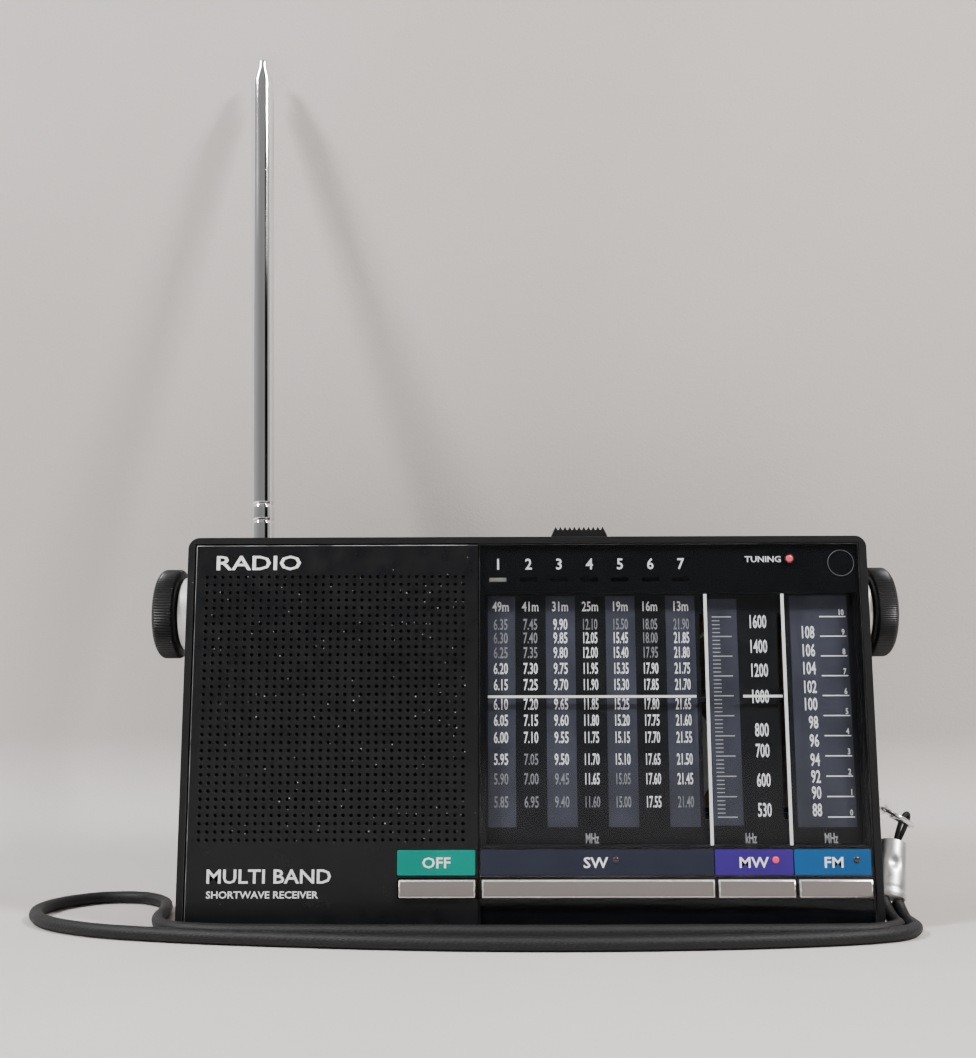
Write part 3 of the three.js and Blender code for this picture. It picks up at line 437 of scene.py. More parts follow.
# Pale specks for the grille's hole rims: painted glints, that is painted highlights.
pale_painted_glint = surface("pale painted glints", (0.3, 0.31, 0.33), 0.7, mottle=0.5, cloud=1, grain=0)
inner_black = surface("inner moulded black", (0.02, 0.02, 0.022), 0.5, grain=0.01)
white_plastic = surface("white moulding", (0.78, 0.775, 0.74), 0.42, grain=0.004, mottle=0.04)
print("finishes so far", len(bpy.data.materials))

# %% Prints
dial_black = surface("dial plate print", (0.0042, 0.0045, 0.0056), 0.4, grain=0.002, grain_size=0.5,
                     Specular_IOR_Level=0.25)
dial_band = surface("dial band print", (0.036, 0.038, 0.052), 0.45, grain=0.002, mottle=0.2, cloud=9,
                    Specular_IOR_Level=0.25)
print_white = surface("bright figures", (0.84, 0.84, 0.86), 0.5, grain=0, mottle=0.05, cloud=1)
print_dim = surface("dim figures", (0.2, 0.2, 0.215), 0.55, grain=0, mottle=0.25, cloud=1)
print_mid = surface("ticks", (0.36, 0.36, 0.37), 0.5, grain=0, mottle=0.12, cloud=1)
print_grey = surface("window figures", (0.74, 0.74, 0.75), 0.5, grain=0, mottle=0.06, cloud=1)
print_line = surface("window dividing lines", (0.8, 0.79, 0.78), 0.45, grain=0, mottle=0.05, cloud=2)

# %% Labels and keys
label_teal = surface("label teal", (0.0, 0.19, 0.145), 0.5, grain=0.003, mottle=0.06, dust=0.05,
                     Specular_IOR_Level=0.2)
label_navy = surface("label dark blue", (0.016, 0.019, 0.033), 0.5, grain=0.003, mottle=0.08, dust=0.05,
                     Specular_IOR_Level=0.2)
label_purple = surface("label purple", (0.036, 0.014, 0.17), 0.5, grain=0.003, mottle=0.06, dust=0.05,
                       Specular_IOR_Level=0.2)
label_blue = surface("label blue", (0.007, 0.073, 0.215), 0.5, grain=0.003, mottle=0.06, dust=0.05,
                     Specular_IOR_Level=0.2)
key_grey = surface("key satin grey", (0.2, 0.18, 0.17), 0.36, mottle=0.06, cloud=12, grain=0.003,
                   dust=0.04, stretch=(0.15, 1, 1), Metallic=0.4)
key_edge = surface("key bright edge", (0.82, 0.8, 0.78), 0.24, mottle=0.1, cloud=5, grain=0.002, Metallic=0.8)

# %% Metals
bright_metal = surface("bright plating", (0.83, 0.83, 0.84), 0.14, mottle=0.03, grain=0.001,
                       grain_size=0.5, Metallic=1.0)
tube_chrome = surface("polished tube", (0.86, 0.86, 0.87), 0.075, mottle=0.03, cloud=4, grain=0.0012,
                      grain_size=0.7, stretch=(1, 1, 0.08), rough_swing=0.5, Metallic=1.0)
ring_silver = surface("satin silver ring", (0.86, 0.86, 0.86), 0.34, mottle=0.04, grain=0.002, Metallic=0.35)
ferrule_metal = surface("satin plated ferrule", (0.56, 0.56, 0.56), 0.33, mottle=0.05, cloud=4, grain=0.004,
                        grain_size=0.3, Metallic=1.0)
screw_black = surface("blackened screw", (0.09, 0.09, 0.095), 0.34, grain=0.002, Metallic=0.9)
steel = surface("plain steel", (0.5, 0.5, 0.5), 0.38, mottle=0.1, grain=0.003, Metallic=1.0)
tinned = surface("tinned can", (0.55, 0.55, 0.54), 0.42, mottle=0.12, cloud=4, grain=0.004, Metallic=0.9)

# %% Inner materials
board_brown = surface("phenolic board", (0.26, 0.15, 0.065), 0.5, mottle=0.18, cloud=3, grain=0.006,
                      grain_size=0.5, stretch=(1, 1, 3))
paper_black = surface("pressed paper cone", (0.022, 0.02, 0.018), 0.9, mottle=0.3, cloud=1.2, grain=0.04,
                      grain_size=0.35)
ferrite = surface("sintered ferrite", (0.035, 0.035, 0.038), 0.65, mottle=0.2, cloud=1.5, grain=0.02,
                  grain_size=0.25)
cell_wrap = surface("cell wrapper", (0.34, 0.27, 0.09), 0.32, mottle=0.08, grain=0.002, Metallic=0.6)
cord_thread = surface("waxed thread", (0.6, 0.55, 0.45), 0.8, mottle=0.2, cloud=0.5, grain=0.03,
                      grain_size=0.15)

# %% [markdown]
# A lamp is a tiny moulded lens. A lit one gives off pinkish red light, and a dark one is only
# tinted plastic.

# %% Lamps


def lamp_finish(name, colour, glow=0.0):
    """Tinted plastic with a coat, which may glow."""
    finish = Finish(name, Coat_Weight=0.6, Coat_Roughness=0.08, IOR=1.5)
    cloudy = finish.span(finish.noise(0.5, 2), 0.3, 0.7, 0, 1)
    finish.colour(finish.mix(cloudy, shade(colour, 0.8), shade(colour, 1.15)))
    finish.roughness(finish.span(finish.noise(0.3, 2), 0.3, 0.7, 0.12, 0.3))
    if glow:
        finish.shader.inputs["Emission Color"].default_value = (1.0, 0.07, 0.14, 1)
        finish.shader.inputs["Emission Strength"].default_value = glow
    return finish.material


lamp_lit = lamp_finish("lit lamp", (0.6, 0.015, 0.04), glow=0.42)
lamp_dark = lamp_finish("dark lamp", (0.02, 0.012, 0.014))

# %% [markdown]
# The window is clear acrylic. Most light goes straight through it, and the rest is
# mirrored, more of it at a shallow angle, as the Fresnel node works out. Only the faces
# turned to the eye mirror: seen from inside, light that is not bent would seem to be
# trapped at shallow angles, and the dial would vanish behind a full mirror.

# %% Window


def window_finish():
    """Clear and mirror shaders, mixed by Fresnel, with faint smears in the mirror."""
    finish = Finish("clear window", Roughness=0.04, Metallic=1.0)
    tint = finish.span(finish.noise(14, 4), 0.3, 0.7, 0, 1)
    finish.colour(finish.mix(tint, (0.86, 0.88, 0.9), (1.0, 1.0, 1.0)))
    finish.roughness(finish.span(finish.noise(9, 5), 0.35, 0.7, 0.02, 0.1))
    clear = finish.tree.nodes.new("ShaderNodeBsdfTransparent")
    clear.inputs["Color"].default_value = (0.94, 0.95, 0.96, 1)
    fresnel = finish.tree.nodes.new("ShaderNodeFresnel")
    fresnel.inputs["IOR"].default_value = 1.2
    side = finish.tree.nodes.new("ShaderNodeNewGeometry").outputs["Backfacing"]
    mirrored = finish.times(fresnel.outputs["Fac"], finish.math("SUBTRACT", 1, side))
    both = finish.tree.nodes.new("ShaderNodeMixShader")
    output = finish.tree.nodes["Material Output"]
    finish.tree.links.new(mirrored, both.inputs[0])
    finish.tree.links.new(clear.outputs["BSDF"], both.inputs[1])
    finish.tree.links.new(finish.shader.outputs["BSDF"], both.inputs[2])
    finish.tree.links.new(both.outputs["Shader"], output.inputs["Surface"])
    return finish.material


window_clear = window_finish()

# %% Braided cord
strap_black = Finish("braided black cord", Specular_IOR_Level=0.32)
threads = strap_black.noise(0.16, 3)
strap_black.colour(strap_black.mix(strap_black.span(threads, 0.35, 0.68, 0, 1), (0.002, 0.002, 0.0023),
                                   (0.013, 0.013, 0.0145)))
strap_black.roughness(strap_black.span(threads, 0.3, 0.7, 0.42, 0.7))
strap_black.normal(strap_black.bump(threads, 0.05))
strap_black = strap_black.material

# %% [markdown]
# ## The table and the light
# The receiver stands on a pale cloth that rises behind it and leans forwards, until it
# almost touches the antenna's tip. So the antenna's two soft shadows start at the tip and
# part on their way down. From behind the cloth can be looked through, down to the table.
# Two lamps stand in front, high up to the left and the right, and a large one hangs above.

# %% Sweep
SWEEP_RADIUS = 25
SWEEP_LEAN = math.radians(16)
TIP_Y, TIP_Z = 12.5, 172
sweep_finish = Finish("pale cloth")
cloth_noise = sweep_finish.noise(160, 3)
sweep_finish.colour(sweep_finish.mix(sweep_finish.span(cloth_noise, 0.35, 0.65, 0, 1), (0.5, 0.47, 0.45),
                                     (0.57, 0.54, 0.52)))
sweep_finish.roughness(sweep_finish.span(cloth_noise, 0.3, 0.7, 0.75, 0.9))
sweep_finish.normal(sweep_finish.bump(sweep_finish.noise(0.5, 2), 0.05))
back_facing = sweep_finish.tree.nodes.new("ShaderNodeNewGeometry")
see_through = sweep_finish.tree.nodes.new("ShaderNodeBsdfTransparent")
either = sweep_finish.tree.nodes.new("ShaderNodeMixShader")
sweep_finish.tree.links.new(back_facing.outputs["Backfacing"], either.inputs[0])
sweep_finish.tree.links.new(sweep_finish.shader.outputs["BSDF"], either.inputs[1])
sweep_finish.tree.links.new(see_through.outputs["BSDF"], either.inputs[2])
sweep_output = sweep_finish.tree.nodes["Material Output"]
sweep_finish.tree.links.new(either.outputs["Shader"], sweep_output.inputs["Surface"])

bend = np.linspace(0, np.pi / 2 + SWEEP_LEAN, 28)
bend_top = SWEEP_RADIUS * (1 + math.sin(SWEEP_LEAN))
floor_end = TIP_Y + (TIP_Z - bend_top) * math.tan(SWEEP_LEAN) - SWEEP_RADIUS * math.cos(SWEEP_LEAN)
sweep_profile = np.concatenate([
    [(-900, 0)],
    np.stack([floor_end + SWEEP_RADIUS * np.sin(bend), SWEEP_RADIUS * (1 - np.cos(bend))], axis=1),
    [(TIP_Y - (700 - TIP_Z) * math.tan(SWEEP_LEAN), 700)],
])
print("the cloth starts to rise at", round(floor_end, 1))
floor_profile = np.array([(floor_end, 0), (900, 0)])


def cloth_strip(profile):
    """A strip of cloth: (y, z) pairs carried from the far left to the far right."""
    strip = np.zeros((len(profile), 2, 3))
    strip[..., 0] = (-1100, 1100)
    strip[..., 1] = profile[:, :1]
    strip[..., 2] = profile[:, 1:]
    return strip.reshape(-1, 3)


sweep_points = np.concatenate([cloth_strip(sweep_profile), cloth_strip(floor_profile)])
sweep_faces = np.concatenate([grid_faces(len(sweep_profile), 2), grid_faces(2, 2) + 2 * len(sweep_profile)])
sweep_mesh = bpy.data.meshes.new("sweep")
sweep_mesh.from_pydata((sweep_points * MM).tolist(), [], sweep_faces.tolist())
sweep_mesh.materials.append(sweep_finish.material)
sweep_mesh.shade_smooth()
sweep = bpy.data.objects.new("sweep", sweep_mesh)
bpy.context.scene.collection.objects.link(sweep)

# %% Lamps of the studio


def studio_lamp(name, place, target, size, power, colour=(1, 1, 1)):
    """A square area light at a place, in millimetres, that faces a target."""
    data = bpy.data.lights.new(name, "AREA")
    data.size = size * MM
    data.energy = power
    data.color = colour
    lamp = bpy.data.objects.new(name, data)
    look = np.array(target, float) - np.array(place, float)
    lamp.matrix_world = aim(look, np.cross(look, (0, 0, 1)), place).T
    bpy.context.scene.collection.objects.link(lamp)
    return lamp


studio_lamp("right lamp", (420, -330, 520), (0, 0, 60), 100, 6.5, (1.0, 0.98, 0.96))
studio_lamp("left lamp", (-420, -300, 480), (0, 0, 60), 100, 5.5, (0.97, 0.98, 1.0))
studio_lamp("top lamp", (0, 60, 620), (0, 0, 40), 420, 3.5)

# %% [markdown]
# The room behind the camera is darker than the cloth. A tall dark doorway stands to the
# right of the camera, and the polished tube mirrors it as a thin black line. The camera
# itself, as the Light Path node tells, sees plain walls there.

# %% Room
DOOR_BEARING = 0.8
world = bpy.data.worlds.new("room")
bpy.context.scene.world = world
world.use_nodes = True
room = world.node_tree


def room_node(kind, values, **sources):
    """A node of the room with constant inputs, and links into its numbered inputs."""
    node = room.nodes.new(kind)
    for place, value in values.items():
        node.inputs[place].default_value = value
    for place, source in sources.items():
        room.links.new(source, node.inputs[int(place[1:])])
    return node


direction = room.nodes.new("ShaderNodeTexCoord").outputs["Generated"]
parts = room_node("ShaderNodeSeparateXYZ", {}, i0=direction).outputs
ahead = room_node("ShaderNodeMapRange", {1: -0.95, 2: 0.2, 3: 0.0, 4: 1.0}, i0=parts["Y"]).outputs["Result"]
backward = room_node("ShaderNodeMath", {1: -1.0}, i0=parts["Y"])
backward.operation = "MULTIPLY"
bearing = room_node("ShaderNodeMath", {}, i0=parts["X"], i1=backward.outputs["Value"])
bearing.operation = "ARCTAN2"
off_door = room_node("ShaderNodeMath", {1: DOOR_BEARING}, i0=bearing.outputs["Value"])
off_door.operation = "SUBTRACT"
distance = room_node("ShaderNodeMath", {}, i0=off_door.outputs["Value"])
distance.operation = "ABSOLUTE"
beside = room_node("ShaderNodeMapRange", {1: 0.2, 2: 0.34, 3: 0.0, 4: 1.0}, i0=distance.outputs["Value"])
seen = room.nodes.new("ShaderNodeLightPath").outputs["Is Camera Ray"]
plain = room_node("ShaderNodeMath", {}, i0=beside.outputs["Result"], i1=seen)
plain.operation = "MAXIMUM"
walls = room_node("ShaderNodeMix", {}, i0=ahead)
walls.data_type = "RGBA"
walls.inputs[6].default_value = (0.34, 0.335, 0.33, 1)
walls.inputs[7].default_value = (0.82, 0.81, 0.8, 1)
both = room_node("ShaderNodeMix", {}, i0=plain.outputs["Value"])
both.data_type = "RGBA"
both.inputs[6].default_value = (0.004, 0.004, 0.004, 1)
room.links.new(walls.outputs[2], both.inputs[7])
room.links.new(both.outputs[2], room.nodes["Background"].inputs["Color"])
room.nodes["Background"].inputs["Strength"].default_value = 0.72

# %% [markdown]
# ## Turned parts
# Knobs, rings, tubes and screws are turned on a lathe. A profile of radius and place along
# the axis is carried round it. The radius may also change round the axis, which cuts a
# knurl.

# %% Revolve


def across_axes(axis):
    """Two unit directions at right angles to an axis and to each other."""
    axis = np.array(axis, float) / np.linalg.norm(axis)
    helper = np.array((0, 0, 1.0)) if abs(axis[2]) < 0.9 else np.array((1.0, 0, 0))
    first = np.cross(helper, axis)
    first = first / np.linalg.norm(first)
    return axis, first, np.cross(axis, first)


def revolve(profile, origin, axis, sides, closed=False, cut=None, finish=0):
    """Carries (radius, along) pairs round an axis. cut is taken off the radius, as an
    array over profile points and sides."""
    profile = np.array(profile, float)
    axis, first, second = across_axes(axis)
    turn = np.arange(sides) / sides * 2 * np.pi
    radius = np.repeat(profile[:, :1], sides, axis=1)
    if cut is not None:
        radius = radius - cut
    circle = np.cos(turn)[None, :, None] * first + np.sin(turn)[None, :, None] * second
    points = np.array(origin) + profile[:, 1, None, None] * axis + radius[..., None] * circle
    return skin(points, wrap_rows=closed, lids=False, finish=finish)


def rounded_profile(radius, start, end, edge, steps=4):
    """A disc's profile from its axis out, over a rounded rim, and back to the axis."""
    turn = np.linspace(0, np.pi / 2, steps + 1)
    first = np.stack([radius - edge + edge * np.sin(turn), start + edge - edge * np.cos(turn)], axis=1)
    last = np.stack([radius - edge + edge * np.cos(turn), end - edge + edge * np.sin(turn)], axis=1)
    return np.concatenate([[(0, start)], first, last, [(0, end)]])


# %% [markdown]
# ## Flat parts
# Panels, labels and prints are rounded rectangles with some thickness. One outline is
# drawn, and each row of the grid is that outline, a little smaller where an edge is
# rounded.

# %% Rounded blocks


def rounded_outline(x_range, z_range, corner, steps=5):
    """A rectangle with round corners: a quarter circle at each, as (x, z) points."""
    (x0, x1), (z0, z1) = x_range, z_range
    corner = max(corner, 1e-3)
    turn = np.linspace(0, np.pi / 2, steps + 1)
    centres = [(x1 - corner, z1 - corner), (x0 + corner, z1 - corner),
               (x0 + corner, z0 + corner), (x1 - corner, z0 + corner)]
    quarters = []
    for i, (cx, cz) in enumerate(centres):
        angle = turn + i * np.pi / 2
        quarters.append(np.stack([cx + corner * np.cos(angle), cz + corner * np.sin(angle)], axis=1))
    return np.concatenate(quarters)


def rounded_block(x_range, y_range, z_range, corner=0.3, edge=0.08, finish=0, steps=3, corner_steps=5):
    """A plate that faces -Y: outlines from its front edge to its back, joined by lids."""
    (y0, y1) = y_range
    turn = np.linspace(0, np.pi / 2, steps + 1)
    insets = np.concatenate([edge * (1 - np.sin(turn)), edge * (1 - np.cos(turn))])
    depths = np.concatenate([y0 + edge * (1 - np.cos(turn)), y1 - edge + edge * np.sin(turn)])
    rows = []
    for inset, y in zip(insets, depths):
        outline = rounded_outline(
            (x_range[0] + inset, x_range[1] - inset),
            (z_range[0] + inset, z_range[1] - inset),
            corner - inset,
            corner_steps,
        )
        rows.append(np.stack([outline[:, 0], np.full(len(outline), y), outline[:, 1]], axis=1))
    return skin(np.array(rows), finish=finish)


# %% [markdown]
# A moulded shell with pockets and openings is easier as a block model: three lists of
# coordinates cut space into boxes, an array says which boxes are solid, and a face is made
# wherever a solid box meets an empty one. Round holes are set into it afterwards.

# %% Block model


def block_faces(xs, ys, zs, solid, open_cells=None):
    """Quads between solid and empty boxes, as an array (quads, 4 corners, 3).
    open_cells marks (x, z) cells whose front and back faces are left out for a round hole."""
    padded = np.pad(solid, 1)
    quads = []
    grids = (np.array(xs, float), np.array(ys, float), np.array(zs, float))
    for axis in range(3):
        change = np.diff(padded.astype(int), axis=axis)
        others = [a for a in range(3) if a != axis]
        trimmed = [slice(1, -1)] * 3
        trimmed[axis] = slice(None)
        spot = np.argwhere(change[tuple(trimmed)] != 0)
        if axis == 1 and open_cells is not None:
            spot = spot[~open_cells[spot[:, 0], spot[:, 2]]]
        corner = np.zeros((len(spot), 4, 3))
        steps = [(0, 0), (1, 0), (1, 1), (0, 1)]
        for k, (u, v) in enumerate(steps):
            corner[:, k, axis] = grids[axis][spot[:, axis]]
            corner[:, k, others[0]] = grids[others[0]][spot[:, others[0]] + u]
            corner[:, k, others[1]] = grids[others[1]][spot[:, others[1]] + v]
        quads.append(corner)
    return np.concatenate(quads)


def round_holes(centres, cell, radius, chamfer, front, back):
    """Square cells with a round hole: a square ring, a small chamfer and a round wall.
    Three points lie on each side of the square, so a hole has twelve sides."""
    side = np.arange(3) / 3 - 0.5
    ones = np.full(3, 0.5)
    square = np.concatenate([
        np.stack([side, -ones], axis=1), np.stack([ones, side], axis=1),
        np.stack([-side, ones], axis=1), np.stack([-ones, -side], axis=1),
    ]) * cell
    turn = np.arctan2(square[:, 1], square[:, 0])
    circle = np.stack([np.cos(turn), np.sin(turn)], axis=1)
    rings = [(square, front), (circle * (radius + chamfer), front), (circle * radius, front + chamfer),
             (circle * radius, back), (square, back)]
    flat = np.array([ring for ring, _ in rings])
    depth = np.array([y for _, y in rings])
    points = np.zeros((len(centres), 5, 12, 3))
    points[..., 0] = flat[None, ..., 0] + np.array(centres)[:, 0, None, None]
    points[..., 2] = flat[None, ..., 1] + np.array(centres)[:, 1, None, None]
    points[..., 1] = depth[None, :, None]
    faces = grid_faces(5, 12, wrap_columns=True)
    faces = (faces[None] + np.arange(len(centres))[:, None, None] * 60).reshape(-1, 4)
    return points.reshape(-1, 3), faces.tolist(), 0


def block_skin(quads, finish=0):
    """Quads as a skin. make_piece joins their corners."""
    return quads.reshape(-1, 3), np.arange(len(quads) * 4).reshape(-1, 4).tolist(), finish


# %% [markdown]
# Where the frame's shape is already right, its mesh is copied and its edges are rounded:
# doubles are merged, flat stretches become single faces, and a Bevel modifier rounds the
# edges that a test picks.

# %% Softened copies


def softened(name, node, body, finishes, width=0.25, segments=3, pick=None, edge_finish=None, angle=40):
    """A copy of a CAD node with rounded edges. pick takes the edges' middles in
    millimetres and says which ones are rounded."""
    mesh = frame["nodes"][node].data.copy()
    mesh.name = name
    mesh.materials.clear()
    work = bmesh.new()
    work.from_mesh(mesh)
    bmesh.ops.remove_doubles(work, verts=work.verts, dist=1e-6)
    bmesh.ops.dissolve_limit(work, angle_limit=math.radians(0.6), verts=work.verts, edges=work.edges)
    work.to_mesh(mesh)
    sharp = np.array([e.is_manifold and e.calc_face_angle(0) > math.radians(angle) for e in work.edges])
    mids = np.array([(e.verts[0].co + e.verts[1].co) / 2 for e in work.edges]) / MM
    work.free()
    if pick is not None:
        sharp = sharp & pick(mids)
    weights = mesh.attributes.new("bevel_weight_edge", "FLOAT", "EDGE")
    weights.data.foreach_set("value", sharp.astype(np.float32))
    mesh.polygons.foreach_set("material_index", np.zeros(len(mesh.polygons), np.int32))
    piece = place_mesh(name, mesh, body, finishes, (node,), weighted=False)
    bevel = piece.modifiers.new("rounded edges", "BEVEL")
    bevel.limit_method = "WEIGHT"
    bevel.width = width * MM
    bevel.segments = segments
    bevel.use_clamp_overlap = True
    if edge_finish is not None:
        bevel.material = edge_finish
    normals = piece.modifiers.new("flat faces", "WEIGHTED_NORMAL")
    normals.keep_sharp = True
    return piece


# %% [markdown]
# ## The case
# Two moulded half shells. The front one carries the panels in a shallow recess, and the
# rear one has a step for the folded antenna and a place for the battery cover. Only their
# outer edges are rounded, as a moulder would.

# %% Shells
case_low, case_high = corners("front_cabinet")
rear_high = corners("rear_cabinet")[1]


def outer_front(mids):
    """Edges on the case's outside: front face, sides and top."""
    out = np.isclose(mids[:, 1], case_low[1], atol=0.02)
    out |= np.isclose(np.abs(mids[:, 0]), case_high[0], atol=0.02)
    return out | np.isclose(mids[:, 2], case_high[2], atol=0.02)


def outer_rear(mids):
    """Edges on the back face, at the seam and round the antenna's step."""
    out = np.isclose(mids[:, 1], rear_high[1], atol=0.02)
    out |= np.isclose(np.abs(mids[:, 0]), rear_high[0], atol=0.02)
    return out | np.isclose(mids[:, 2], rear_high[2], atol=0.02)


# The shells' rounded edges take the paler edge finish: rubbed wear and a painted edge highlight.
softened("case_front", "front_cabinet", "cabinet", [case_black, case_edge_wear_and_highlight], 0.22,
         pick=outer_front, edge_finish=1)
softened("case_rear", "rear_cabinet", "cabinet", [case_black, case_edge_wear_and_highlight], 0.3,
         pick=outer_rear, edge_finish=1)

# %% [markdown]
# ## The grille panel
# A satin black sheet with a square field of small round holes, a shallow pocket for the
# label and an opening for the OFF key. The block model makes the sheet, and each hole has
# its own little chamfer, which catches the light.

# %% Grille panel
plate_low, plate_high = corners("grille_plate")
key_low, key_high = corners("button_off")
label_low, label_high = corners("label_strip_off")
HOLE_PITCH = 1.36
HOLE_COUNT = 34
HOLE_RADIUS = 0.29
HOLE_CHAMFER = 0.07
KEY_GAP = 0.25
LABEL_GAP = 0.1
LABEL_POCKET = 0.4
field_left = plate_low[0] + 2 - HOLE_PITCH / 2
field_top = plate_high[2] - 5.6 + HOLE_PITCH / 2
field_bottom = field_top - HOLE_PITCH * HOLE_COUNT
key_bottom = key_high[2] - 0.5 - 2.9
KEY_HEIGHT = 2.9
thirds = np.arange(3 * HOLE_COUNT + 1) * HOLE_PITCH / 3
plate_xs = np.unique(np.round(np.concatenate([
    [plate_low[0], plate_high[0], key_low[0] - KEY_GAP, label_low[0] - LABEL_GAP],
    field_left + thirds,
]), 4))
plate_zs = np.unique(np.round(np.concatenate([
    [plate_low[2], plate_high[2], label_low[2] - LABEL_GAP, label_high[2] + LABEL_GAP],
    [key_bottom - KEY_GAP, key_bottom + KEY_HEIGHT + KEY_GAP],
    field_bottom + thirds,
]), 4))
plate_ys = [plate_low[1], plate_low[1] + LABEL_POCKET, plate_high[1]]


def between(values, low, high):
    """True for the cells of a list of coordinates whose middle is between two values."""
    mids = (values[:-1] + values[1:]) / 2
    return (mids > low) & (mids < high)


plate_solid = np.ones((len(plate_xs) - 1, 2, len(plate_zs) - 1), bool)
in_key = np.outer(between(plate_xs, key_low[0] - KEY_GAP, 1e3),
                  between(plate_zs, key_bottom - KEY_GAP, key_bottom + KEY_HEIGHT + KEY_GAP))
in_label = np.outer(between(plate_xs, label_low[0] - LABEL_GAP, 1e3),
                    between(plate_zs, label_low[2] - LABEL_GAP, label_high[2] + LABEL_GAP))
plate_solid[:, 0] &= ~(in_key | in_label)
plate_solid[:, 1] &= ~in_key
field = np.outer(between(plate_xs, field_left, field_left + HOLE_PITCH * HOLE_COUNT),
                 between(plate_zs, field_bottom, field_top))
column = field_left + (np.arange(HOLE_COUNT) + 0.5) * HOLE_PITCH
row = field_bottom + (np.arange(HOLE_COUNT) + 0.5) * HOLE_PITCH
centres = np.stack(np.meshgrid(column, row, indexing="ij"), axis=-1).reshape(-1, 2)
grille = make_piece("grille_panel", [
    block_skin(block_faces(plate_xs, plate_ys, plate_zs, plate_solid, field)),
    round_holes(centres, HOLE_PITCH, HOLE_RADIUS, HOLE_CHAMFER, plate_low[1], plate_high[1]),
], "cabinet", [grille_paint, panel_edge_wear_and_highlight], ("grille_plate",), merge=2e-6, weighted=False)
print("grille holes", len(centres), "faces", len(grille.data.polygons))


def round_rim(piece, test, width):
    """Rounds the edges for which test says yes, and gives their faces the second finish."""
    mesh = piece.data
    ends = np.zeros(len(mesh.vertices) * 3)
    mesh.vertices.foreach_get("co", ends)
    ends = ends.reshape(-1, 3) / MM
    pairs = np.zeros(len(mesh.edges) * 2, np.int32)
    mesh.edges.foreach_get("vertices", pairs)
    pairs = pairs.reshape(-1, 2)
    chosen = test(ends[pairs[:, 0]]) & test(ends[pairs[:, 1]])
    weights = mesh.attributes.new("bevel_weight_edge", "FLOAT", "EDGE")
    weights.data.foreach_set("value", chosen.astype(np.float32))
    bevel = piece.modifiers.new("rounded edges", "BEVEL")
    bevel.limit_method = "WEIGHT"
    bevel.width = width * MM
    bevel.segments = 2
    bevel.material = 1
    normals = piece.modifiers.new("flat faces", "WEIGHTED_NORMAL")
    normals.keep_sharp = True


def grille_rim(points):
    """Points on the front face's outline, but for the seam beside the window."""
    at_front = np.isclose(points[:, 1], plate_low[1], atol=1e-3)
    at_left = np.isclose(points[:, 0], plate_low[0], atol=1e-3)
    at_top = np.isclose(points[:, 2], plate_high[2], atol=1e-3)
    at_bottom = np.isclose(points[:, 2], plate_low[2], atol=1e-3)
    return at_front & (at_left | at_top | at_bottom)


# The rounded rim takes the pale edge finish: rubbed wear and a painted edge highlight.
round_rim(grille, grille_rim, 0.12)

# %% [markdown]
# Small pale specks sit on the rims of some holes, most of them low down on the right: painted
# glints, that is painted highlights on the rims. Each speck is a flat box with four unequal corners.

# %% Painted glints on the rims
GLINT_COUNT = 130
rng = np.random.default_rng(11)
lean_right = (centres[:, 0] - centres[:, 0].min()) / np.ptp(centres[:, 0])
lean_down = (centres[:, 1].max() - centres[:, 1]) / np.ptp(centres[:, 1])
share = 0.15 + lean_right**2 * (0.4 + lean_down)
glinting_holes = centres[rng.choice(len(centres), GLINT_COUNT, replace=False, p=share / share.sum())]
turns = rng.uniform(0, 2 * np.pi, GLINT_COUNT)
glint_sizes = rng.uniform(0.07, 0.15, GLINT_COUNT)
glint_boxes = []
for (x, z), turn, size in zip(glinting_holes, turns, glint_sizes):
    corner = turn + np.arange(4) * np.pi / 2
    reach = size * rng.uniform(0.6, 1.1, 4)
    flat_x = x + (HOLE_RADIUS + 0.08) * math.cos(turn) + reach * np.cos(corner)
    flat_z = z + (HOLE_RADIUS + 0.08) * math.sin(turn) + reach * np.sin(corner)
    depths = (plate_low[1] - 0.02, plate_low[1] + 0.01)
    rows = [np.stack([flat_x, np.full(4, y), flat_z], axis=1) for y in depths]
    glint_boxes.append(skin(np.array(rows)))
make_piece("grille_painted_glints", glint_boxes, "cabinet", [pale_painted_glint], weighted=False)

# %% [markdown]
# ## The window
# One sheet of clear acrylic covers the whole right side. Behind it lie a glossy printed
# mask, then air, then the dial plate. Its prints are on its back, so they look deep.

# %% Window
window_low, window_high = corners("dial_window")


def window_edge(mids):
    """Edges of the window's front face, and of its pocket and key openings."""
    return mids[:, 1] < window_low[1] + 0.5


# The window's front edges take the same pale edge finish: rubbed wear and a painted edge highlight.
softened("dial_cover", "dial_window", "cabinet", [window_clear, panel_edge_wear_and_highlight], 0.1, 2,
         window_edge, 1)

# %% [markdown]
# ## Letters and figures
# Blender's own font is drawn as text, turned into a mesh and read back as arrays. A print
# is a very thin closed solid. One measured capital gives the scale, so a print's height
# is a real height.

# %% Letters


def raw_letters(words, resolution=2):
    """The text's mesh at font size 1, as (points, faces)."""
    curve = bpy.data.curves.new("letters", "FONT")
    curve.body = words
    curve.extrude = 0.5
    curve.offset = 0.013
    curve.resolution_u = resolution
    holder = bpy.data.objects.new("letters", curve)
    bpy.context.scene.collection.objects.link(holder)
    bpy.context.view_layer.update()
    mesh = bpy.data.meshes.new_from_object(holder.evaluated_get(bpy.context.evaluated_depsgraph_get()))
    points = np.zeros(len(mesh.vertices) * 3)
    mesh.vertices.foreach_get("co", points)
    faces = [list(p.vertices) for p in mesh.polygons]
    bpy.data.objects.remove(holder)
    bpy.data.meshes.remove(mesh)
    bpy.data.curves.remove(curve)
    return points.reshape(-1, 3), faces


capital = raw_letters("H")[0]
CAPITAL_HEIGHT = np.ptp(capital[:, 1])
letter_store = {}


